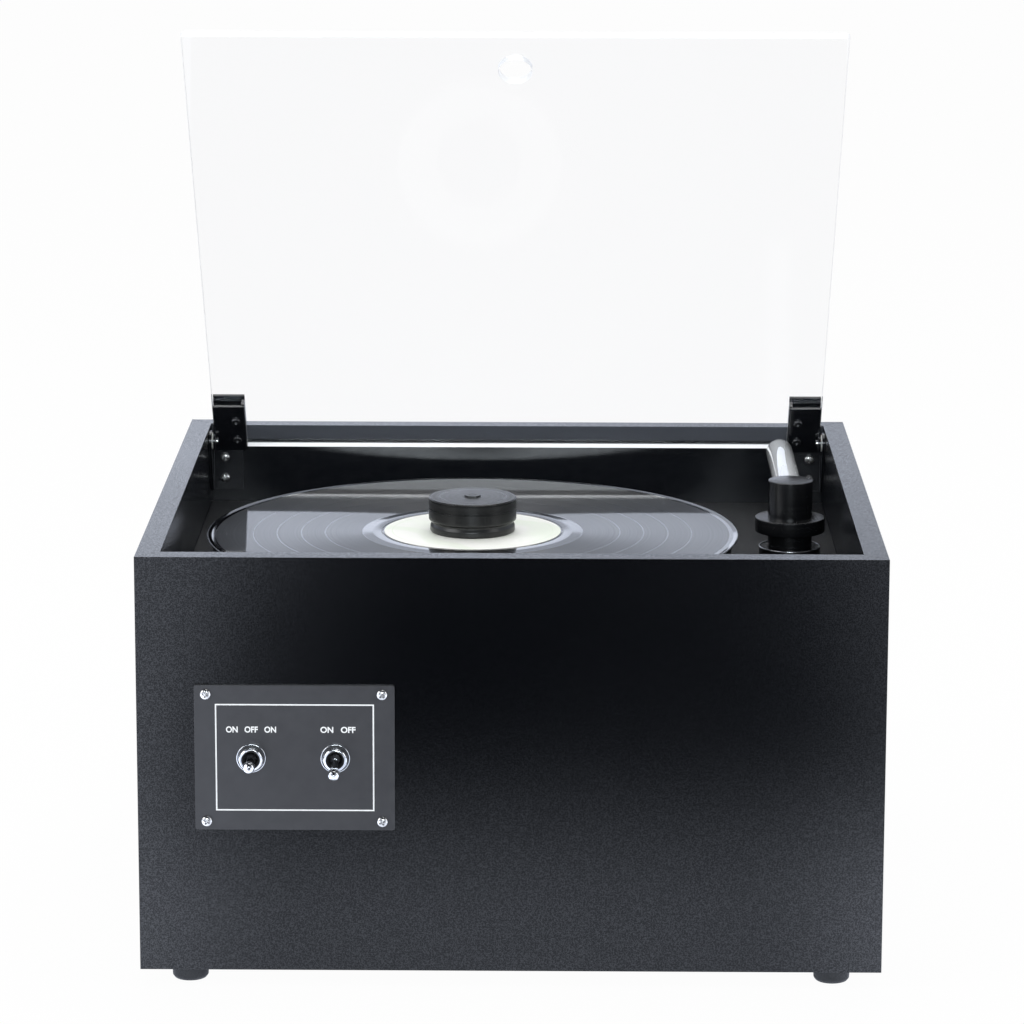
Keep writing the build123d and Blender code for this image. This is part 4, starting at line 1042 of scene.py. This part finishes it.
def makeRecord():
    low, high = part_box("record")
    under, top = low[2] / mm, high[2] / mm
    bead = recordShape["radius"] - 1.4
    corners = [(recordShape["hole"], under), (recordShape["radius"] - 0.8, under, 0.5),
               (recordShape["radius"], (under + top) / 2, 0.6), (bead + 0.5, top - recordShape["beadDrop"], 0.8),
               (bead - 1.6, top - recordShape["outerDrop"], 1.2), (62.0, top - recordShape["innerDrop"], 2.0),
               (56.5, top - 0.05, 2.0), (51.6, top - 0.05, 0.6), (51.2, top - 0.35, 0.3), (50.6, top - 0.1, 0.3),
               (recordShape["hole"], top - 0.02)]
    axes = axesAt((recordMiddle[0], recordMiddle[1], 0), (0, 0, 1))
    points, faces = latheParts(corners, axes, 256, steps=4)
    addPiece("vinylDisc", meshFrom("vinylDisc", points, faces, 40), "record", [finishes["vinyl"]],
             ["record"])
    labelLow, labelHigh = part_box("record_label")
    lower, upper = labelLow[2] / mm, labelHigh[2] / mm
    corners = [(recordShape["hole"], lower), (recordShape["labelRadius"], lower),
               (recordShape["labelRadius"], upper, 0.06), (recordShape["hole"], upper)]
    points, faces = latheParts(corners, axes, 192)
    addPiece("paperLabel", meshFrom("paperLabel", points, faces), "record", [finishes["labelPaper"]],
             ["record_label"])


makeRecord()

# record clamp: turned knob with a waist at its foot, a nut that stands out of its top and a threaded insert
clampShape = {"radius": 24.85, "height": 19.5, "nutHalf": 4.0, "nutRise": 0.9, "nutDepth": 2.5, "insertHalf": 6.5,
              "insertHeight": 7.9, "bore": 3.7, "boreDepth": 16.0}


def makeKnob(base):
    radius, top, bore = clampShape["radius"], clampShape["height"], clampShape["bore"]
    corners = [(bore, 0), (radius - 1.3, 0, 0.5), (radius - 0.75, 0.9, 0.5), (radius - 0.9, 3.4, 1.5),
               (radius - 1.7, 5.0, 0.5), (radius - 1.65, 5.8, 0.4), (radius - 0.1, 6.9, 0.5), (radius, 7.5, 0.5),
               (radius, top - 0.55, 0.2), (radius - 0.6, top, 0.15), (0, top), (0, clampShape["boreDepth"]),
               (bore, clampShape["boreDepth"])]
    points, faces = latheParts(corners, axesAt((*recordMiddle[:2], base), (0, 0, 1)), 256, steps=6)
    addPiece("clampKnob", meshFrom("clampKnob", points, faces, 24), "record_clamp", [finishes["clampPlastic"]],
             ["record_clamp"])


# hexagonal bar with turned ends: the radius at each angle is the least of the lathe's own and of
# the half width across flats over the cosine of the angle from the nearest flat
def hexParts(corners, half, base, segments=96):
    angle = np.linspace(0, 2 * math.pi, segments, endpoint=False)[:, None]
    flat = half / np.cos((angle % (math.pi / 3)) - math.pi / 6)
    profile = roundedOutline(corners, True, 4)
    radius = np.minimum(profile[:, 0][None], flat)
    height = np.broadcast_to(profile[:, 1][None], radius.shape)
    grid = np.stack([radius * np.cos(angle), radius * np.sin(angle), height], 2) * mm
    return (carried(grid, axesAt((*recordMiddle[:2], base), (0, 0, 1))),
            gridFaces(segments, len(profile), True, True))


def makeClampMetal(base):
    top, rise = clampShape["height"], clampShape["nutRise"]
    half, wide = clampShape["nutHalf"], clampShape["insertHalf"]
    nut = hexParts([(0, top - clampShape["nutDepth"]), (half * 1.16, top - clampShape["nutDepth"]),
                    (half * 1.16, top + rise - 0.35), (half * 1.02, top + rise, 0.1), (2.3, top + rise, 0.1),
                    (2.1, top + rise - 0.25, 0.1), (1.9, top + rise - 0.05, 0.1), (0, top + rise - 0.05)], half, base)
    insert = hexParts([(clampShape["bore"], 0.05), (wide * 1.1, 0.05, 0.3), (wide * 1.16, 0.8, 0.3),
                       (wide * 1.16, clampShape["insertHeight"]), (clampShape["bore"], clampShape["insertHeight"])],
                      wide, base)
    addPiece("clampNut", meshFrom("clampNut", *nut), "record_clamp", [finishes["clampPlastic"]])
    addPiece("clampInsert", meshFrom("clampInsert", *insert), "record_clamp", [finishes["brass"]],
             ["clamp_insert"])


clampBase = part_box("record_clamp")[0][2]
makeKnob(clampBase)
makeClampMetal(clampBase)
print("record and clamp done")

# suction arm: post with its cap, wide collar, clear tube with a slot, velvet lips and the deck's bright ring
armShape = {"ringOuter": 17.85, "tube": 7.95, "bore": 6.35, "plug": 3.5, "slotHalf": 1.6,
            "lipOuter": 9.6, "lipHalf": 5.6}


def makeArm():
    axes = axesAt((armMiddle[0], armMiddle[1], 0), (0, 0, 1))
    low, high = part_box("arm_post")
    under, top = low[2] / mm, high[2] / mm
    corners = [(9.5, under), (12.7, under, 0.4), (12.7, top, 0.45), (0, top), (0, top - 3), (9.5, top - 3)]
    points, faces = latheParts(corners, axes, 160)
    addPiece("armPost", meshFrom("armPost", points, faces), "suction_arm", [finishes["armPlastic"]],
             ["arm_post"])
    low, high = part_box("arm_collar")
    under, top = low[2] / mm, high[2] / mm
    corners = [(12.7, under), (20.0, under, 0.4), (20.0, top, 0.45), (12.7, top)]
    points, faces = latheParts(corners, axes, 192)
    addPiece("armCollar", meshFrom("armCollar", points, faces), "suction_arm", [finishes["armPlastic"]],
             ["arm_collar"])
    low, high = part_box("arm_socket_ring")
    under, top = low[2] / mm, high[2] / mm
    outer = armShape["ringOuter"]
    corners = [(13.4, under), (outer, under), (outer, top, 0.4), (outer - 0.95, top, 0.4),
               (outer - 1.1, top - 0.7, 0.2), (13.4, top - 0.7)]
    points, faces = latheParts(corners, axes, 192)
    mesh = meshFrom("socketRing", points, faces)
    addPiece("socketRing", mesh, "cabinet", [finishes["brightRing"], finishes["armPlastic"]],
             ["arm_socket_ring"])
    blackInside = (outer - 1.0) * mm
    markFaces(mesh, lambda middles, normals: np.linalg.norm(middles[:, :2] - armMiddle[:2], axis=1) < blackInside, 1)


# the tube's wall is a profile carried round the tube's line; a box cuts its slot
def makeTube():
    low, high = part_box("suction_tube")
    start, end = low[1] / mm, high[1] / mm
    level = (low[2] + high[2]) / 2
    axes = axesAt((armMiddle[0], 0, level), (0, 1, 0))
    tube, bore = armShape["tube"], armShape["bore"]
    corners = [(bore, start), (tube, start), (tube, end, 2.2), (0, end), (0, end - armShape["plug"]),
               (bore, end - armShape["plug"], 0.8)]
    points, faces = latheParts(corners, axes, 160, steps=6)
    mesh = meshFrom("suctionTube", points, faces)
    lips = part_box("velvet_lips")
    cutLow = (armMiddle[0] - armShape["slotHalf"] * mm, lips[0][1] + 1 * mm, level - 12 * mm)
    cutHigh = (armMiddle[0] + armShape["slotHalf"] * mm, lips[1][1] - 1 * mm, level - 4 * mm)
    corners = np.array([(x, y, z) for x in (cutLow[0], cutHigh[0]) for y in (cutLow[1], cutHigh[1])
                        for z in (cutLow[2], cutHigh[2])])
    blockFaces = [(0, 1, 3, 2), (4, 6, 7, 5), (0, 4, 5, 1), (2, 3, 7, 6), (0, 2, 6, 4), (1, 5, 7, 3)]
    cutter = bpy.data.objects.new("slotCutter", meshFrom("slotCutter", corners, blockFaces))
    tubePiece = bpy.data.objects.new("slotted", mesh)
    for made in (cutter, tubePiece):
        bpy.context.collection.objects.link(made)
    cut = tubePiece.modifiers.new("slot", "BOOLEAN")
    cut.operation, cut.object, cut.solver = "DIFFERENCE", cutter, "EXACT"
    bpy.context.view_layer.update()
    slotted = bpy.data.meshes.new_from_object(tubePiece.evaluated_get(bpy.context.evaluated_depsgraph_get()))
    slotted.name = "suctionTube"
    slotted.set_sharp_from_angle(angle=math.radians(32))
    for made in (cutter, tubePiece):
        bpy.data.objects.remove(made)
    addPiece("suctionTube", slotted, "suction_arm", [finishes["clearTube"]], ["suction_tube"])


# a lip's cross-section lies between two radii and two angles about the tube's line, its outer side
# swelling; the pile adds a small waver along the lip
def makeLips():
    low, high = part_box("velvet_lips")
    level = (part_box("suction_tube")[0][2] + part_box("suction_tube")[1][2]) / 2
    stations = np.linspace(low[1], high[1], 160)
    seed = np.random.default_rng(4)
    sets = []
    for side in (-1, 1):
        first = math.asin(armShape["slotHalf"] / 8.7)
        last = math.asin(armShape["lipHalf"] / 9.2)
        around = np.linspace(0, 1, 24)
        swell = np.sin(math.pi * around) ** 0.45
        outer = np.stack([first + (last - first) * around, armShape["tube"] + (armShape["lipOuter"] - 0.1 -
                                                                              armShape["tube"]) * swell], 1)
        inner = np.array([(last, armShape["tube"] - 0.05), ((first + last) / 2, armShape["tube"] - 0.05),
                          (first, armShape["tube"] - 0.05)])
        ring = np.concatenate([outer, inner])
        fuzz = seed.normal(0, 0.035, (len(stations), len(ring)))
        fuzz[:, len(outer):] = 0
        endShare = np.clip(np.minimum(stations - low[1], high[1] - stations) / (1.2 * mm), 0, 1)[:, None] ** 0.5
        radius = armShape["tube"] + (ring[:, 1][None] - armShape["tube"] + fuzz) * endShare
        x = armMiddle[0] + side * radius * np.sin(ring[:, 0])[None] * mm
        z = level - radius * np.cos(ring[:, 0])[None] * mm
        y = np.broadcast_to(stations[:, None], x.shape)
        sets.append((np.stack([x, y, z], 2).reshape(-1, 3), gridFaces(len(stations), len(ring), False, True)))
    points, faces = joined(sets)
    addPiece("velvetLips", meshFrom("velvetLips", points, faces, 70), "suction_arm", [finishes["velvet"]],
             ["velvet_lips"])


springShape = {"wire": 0.8, "turns": 5, "stations": 420, "around": 16, "taper": 0.0015}


# spring under the thrust ring: the wire's middle climbs evenly as it goes round the arm's axis, and the
# wire closes at both ends
def makeSpring():
    low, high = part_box("arm_spring")
    wire = springShape["wire"] * mm
    share = np.linspace(0, 1, springShape["stations"])[:, None]
    section = np.linspace(0, 2 * math.pi, springShape["around"], endpoint=False)[None]
    thick = wire * np.clip(np.minimum(share, 1 - share) / springShape["taper"], 0, 1)
    turn = 2 * math.pi * springShape["turns"] * share
    reach = (high[0] - low[0]) / 2 - wire + thick * np.cos(section)
    height = low[2] + wire + (high[2] - low[2] - 2 * wire) * share + thick * np.sin(section)
    points = np.stack([armMiddle[0] + reach * np.cos(turn), armMiddle[1] + reach * np.sin(turn), height], 2)
    mesh = meshFrom("liftSpring", points.reshape(-1, 3),
                    gridFaces(springShape["stations"], springShape["around"], False, True), 60)
    spring = addPiece("liftSpring", mesh, "cabinet", [finishes["brightSteel"]], ["arm_spring"])
    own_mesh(spring)


makeArm()
makeTube()
makeLips()
makeSpring()
print("suction arm done")

# back fittings
softened("ventGrille", "vent_grille", "cabinet", [finishes["grilleBlack"]], 0.3, 2)
softened("powerInlet", "power_inlet", "cabinet", [finishes["switchCase"]], 0.25, 2)
print("back done")

# studio: pale floor, soft lamps, white surroundings for the eye and for mirrors and glass
# what mirrors see: white behind and at the sides, dark in front where the camera stands
studio = {"floorSize": 60.0, "floorColour": (0.8, 0.8, 0.8), "floorGlow": 0.97, "worldFill": 0.5,
          "front": 0.03, "sides": 0.7, "behind": 1.22, "haze": (0.2125, 0.2245, 0.52), "tilt": (-0.1, 0.1, 1.15, 0.84),
          "ceiling": (0.35, 0.75, 0.2), "cool": (0.87, 0.935, 1.08)}
# the mirrored floor ahead of the cabinet: how far ahead it darkens, where the dark strip ends on each side,
# its level at the middle, and how much it rises towards each side
mirrorFloor = {"dark": (0.09, 0.56), "left": (0.17, 0.27), "right": (0.17, 0.36), "rightShare": 0.7,
               "middle": 1.3, "leftRise": (0.12, 0.24, 1.05), "rightRise": (0.13, 0.24, 1.15),
               "beside": (-0.3, 0.02, 0.36), "fade": (0.25, 1.0, 1.12, 0.82)}
lamps = {
    "overhead": dict(spot=(0.1, 0.2, 1.9), aim=(0, 0.05, 0.2), size=(1.5, 1.0), power=10.0),
    "backSoft": dict(spot=(0.0, 1.15, 1.75), aim=(0, 0.05, 0.2), size=(1.5, 0.8), power=11.0),
    "frontSoft": dict(spot=(0.0, -3.1, 1.0), aim=(0, 0.05, 0.2), size=(1.2, 0.55), power=32.0,
                      colour=(0.86, 0.94, 1.0)),
    "leftSoft": dict(spot=(-1.7, -0.9, 1.1), aim=(0, 0, 0.2), size=(1.2, 1.2), power=14.0),
    "rightSoft": dict(spot=(1.8, -0.8, 0.9), aim=(0, 0, 0.2), size=(0.9, 1.2), power=6.5),
}


# masks by the kind of light path: mirrored after a reflection, spread after a matt surface
def pathMasks(tree):
    light = addNode(tree, "LightPath").outputs
    spread = light["Is Diffuse Ray"]
    mirrored = calc(tree, "GREATER_THAN", light["Glossy Depth"], 0.5)
    mirrored = calc(tree, "MULTIPLY", mirrored, calc(tree, "SUBTRACT", 1.0, spread))
    seen = calc(tree, "MAXIMUM", light["Is Camera Ray"], light["Is Transmission Ray"])
    seen = calc(tree, "MULTIPLY", seen, calc(tree, "SUBTRACT", 1.0, mirrored))
    return seen, mirrored


def makeFloor():
    half = studio["floorSize"] / 2
    mesh = meshFrom("floor", np.array([(-half, -half, 0), (half, -half, 0), (half, half, 0), (-half, half, 0)]),
                    [(0, 1, 2, 3)])
    floor = bpy.data.objects.new("floor", mesh)
    bpy.context.collection.objects.link(floor)
    material, tree, shader = newMaterial("floorPaint", Base_Color=studio["floorColour"], Roughness=0.8,
                                         Specular_IOR_Level=0.1)
    seen, mirrored = pathMasks(tree)
    place = addNode(tree, "SeparateXYZ", None, Vector=addNode(tree, "NewGeometry").outputs["Position"]).outputs
    ahead = calc(tree, "SUBTRACT", calc(tree, "MULTIPLY", place["Y"], -1.0), 0.19)
    toLeft = calc(tree, "MULTIPLY", place["X"], -1.0)
    shade = calc(tree, "MULTIPLY", ranged(tree, ahead, *mirrorFloor["dark"], 0.0, 1.0, True),
                 calc(tree, "MULTIPLY", ranged(tree, toLeft, *mirrorFloor["left"], 1.0, 0.0, True),
                      ranged(tree, place["X"], *mirrorFloor["right"], 1.0, 1.0 - mirrorFloor["rightShare"], True)))
    leftFrom, leftTo, leftRise = mirrorFloor["leftRise"]
    rightFrom, rightTo, rightRise = mirrorFloor["rightRise"]
    rise = calc(tree, "ADD", ranged(tree, toLeft, leftFrom, leftTo, 0.0, leftRise, True),
                ranged(tree, place["X"], rightFrom, rightTo, 0.0, rightRise, True))
    level = calc(tree, "MULTIPLY", calc(tree, "ADD", rise, mirrorFloor["middle"]),
                 calc(tree, "SUBTRACT", 1.0, shade))
    level = calc(tree, "MULTIPLY", level, ranged(tree, ahead, *mirrorFloor["beside"], 1.0, True))
    level = calc(tree, "MULTIPLY", level, ranged(tree, ahead, *mirrorFloor["fade"], True))
    strength = calc(tree, "MULTIPLY_ADD", mirrored, level, calc(tree, "SUBTRACT", 1.0, mirrored))
    glow = addNode(tree, "Emission", None, Color=blended(tree, mirrored, (1, 1, 1, 1), rgb(studio["cool"])),
                   Strength=strength)
    share = calc(tree, "MAXIMUM", calc(tree, "MULTIPLY", seen, studio["floorGlow"]), mirrored)
    both = addNode(tree, "MixShader", None, nth0=share, nth1=shader.outputs[0], nth2=glow.outputs[0])
    tree.links.new(both.outputs[0], tree.nodes["Material Output"].inputs["Surface"])
    mesh.materials.append(material)


def makeWorld():
    world = bpy.data.worlds.new("studio")
    bpy.context.scene.world = world
    world.use_nodes = True
    tree = world.node_tree
    seen, mirrored = pathMasks(tree)
    way = addNode(tree, "SeparateXYZ", None, Vector=addNode(tree, "TexCoord").outputs["Generated"]).outputs
    aside = calc(tree, "ABSOLUTE", calc(tree, "DIVIDE", way["X"], calc(tree, "MINIMUM", way["Y"], -0.001)))
    front = ranged(tree, aside, 0.15, 0.6, studio["front"], studio["sides"], True)
    behind = ranged(tree, way["Y"], -0.3, 0.2, 0.0, 1.0, True)
    around = calc(tree, "MULTIPLY_ADD", behind, studio["behind"],
                  calc(tree, "MULTIPLY", calc(tree, "SUBTRACT", 1.0, behind), front))
    low, high, first, last = studio["tilt"]
    around = calc(tree, "MULTIPLY", around, ranged(tree, way["X"], low, high, first, last, True))
    for low, high, share in (studio["haze"], studio["ceiling"]):
        around = calc(tree, "MULTIPLY", around, ranged(tree, way["Z"], low, high, 1.0, share, True))
    plain = calc(tree, "MULTIPLY", calc(tree, "SUBTRACT", 1.0, mirrored), studio["worldFill"])
    level = calc(tree, "MAXIMUM", seen, calc(tree, "MULTIPLY_ADD", mirrored, around, plain))
    background = tree.nodes["Background"]
    setInput(tree, background, "Color", blended(tree, mirrored, (1, 1, 1, 1), rgb(studio["cool"])))
    setInput(tree, background, "Strength", level)


def makeLamps():
    for name, lamp in lamps.items():
        data = bpy.data.lights.new(name, "AREA")
        data.shape, data.energy = "RECTANGLE", lamp["power"]
        data.size, data.size_y = lamp["size"]
        data.color = lamp.get("colour", (1.0, 1.0, 1.0))
        made = bpy.data.objects.new(name, data)
        made.location = lamp["spot"]
        toward = Vector(lamp["aim"]) - Vector(lamp["spot"])
        made.rotation_euler = toward.to_track_quat("-Z", "Y").to_euler()
        made.visible_camera = False
        bpy.context.collection.objects.link(made)


makeFloor()
makeWorld()
makeLamps()
bpy.context.scene.view_settings.view_transform = "Standard"
print("studio done")
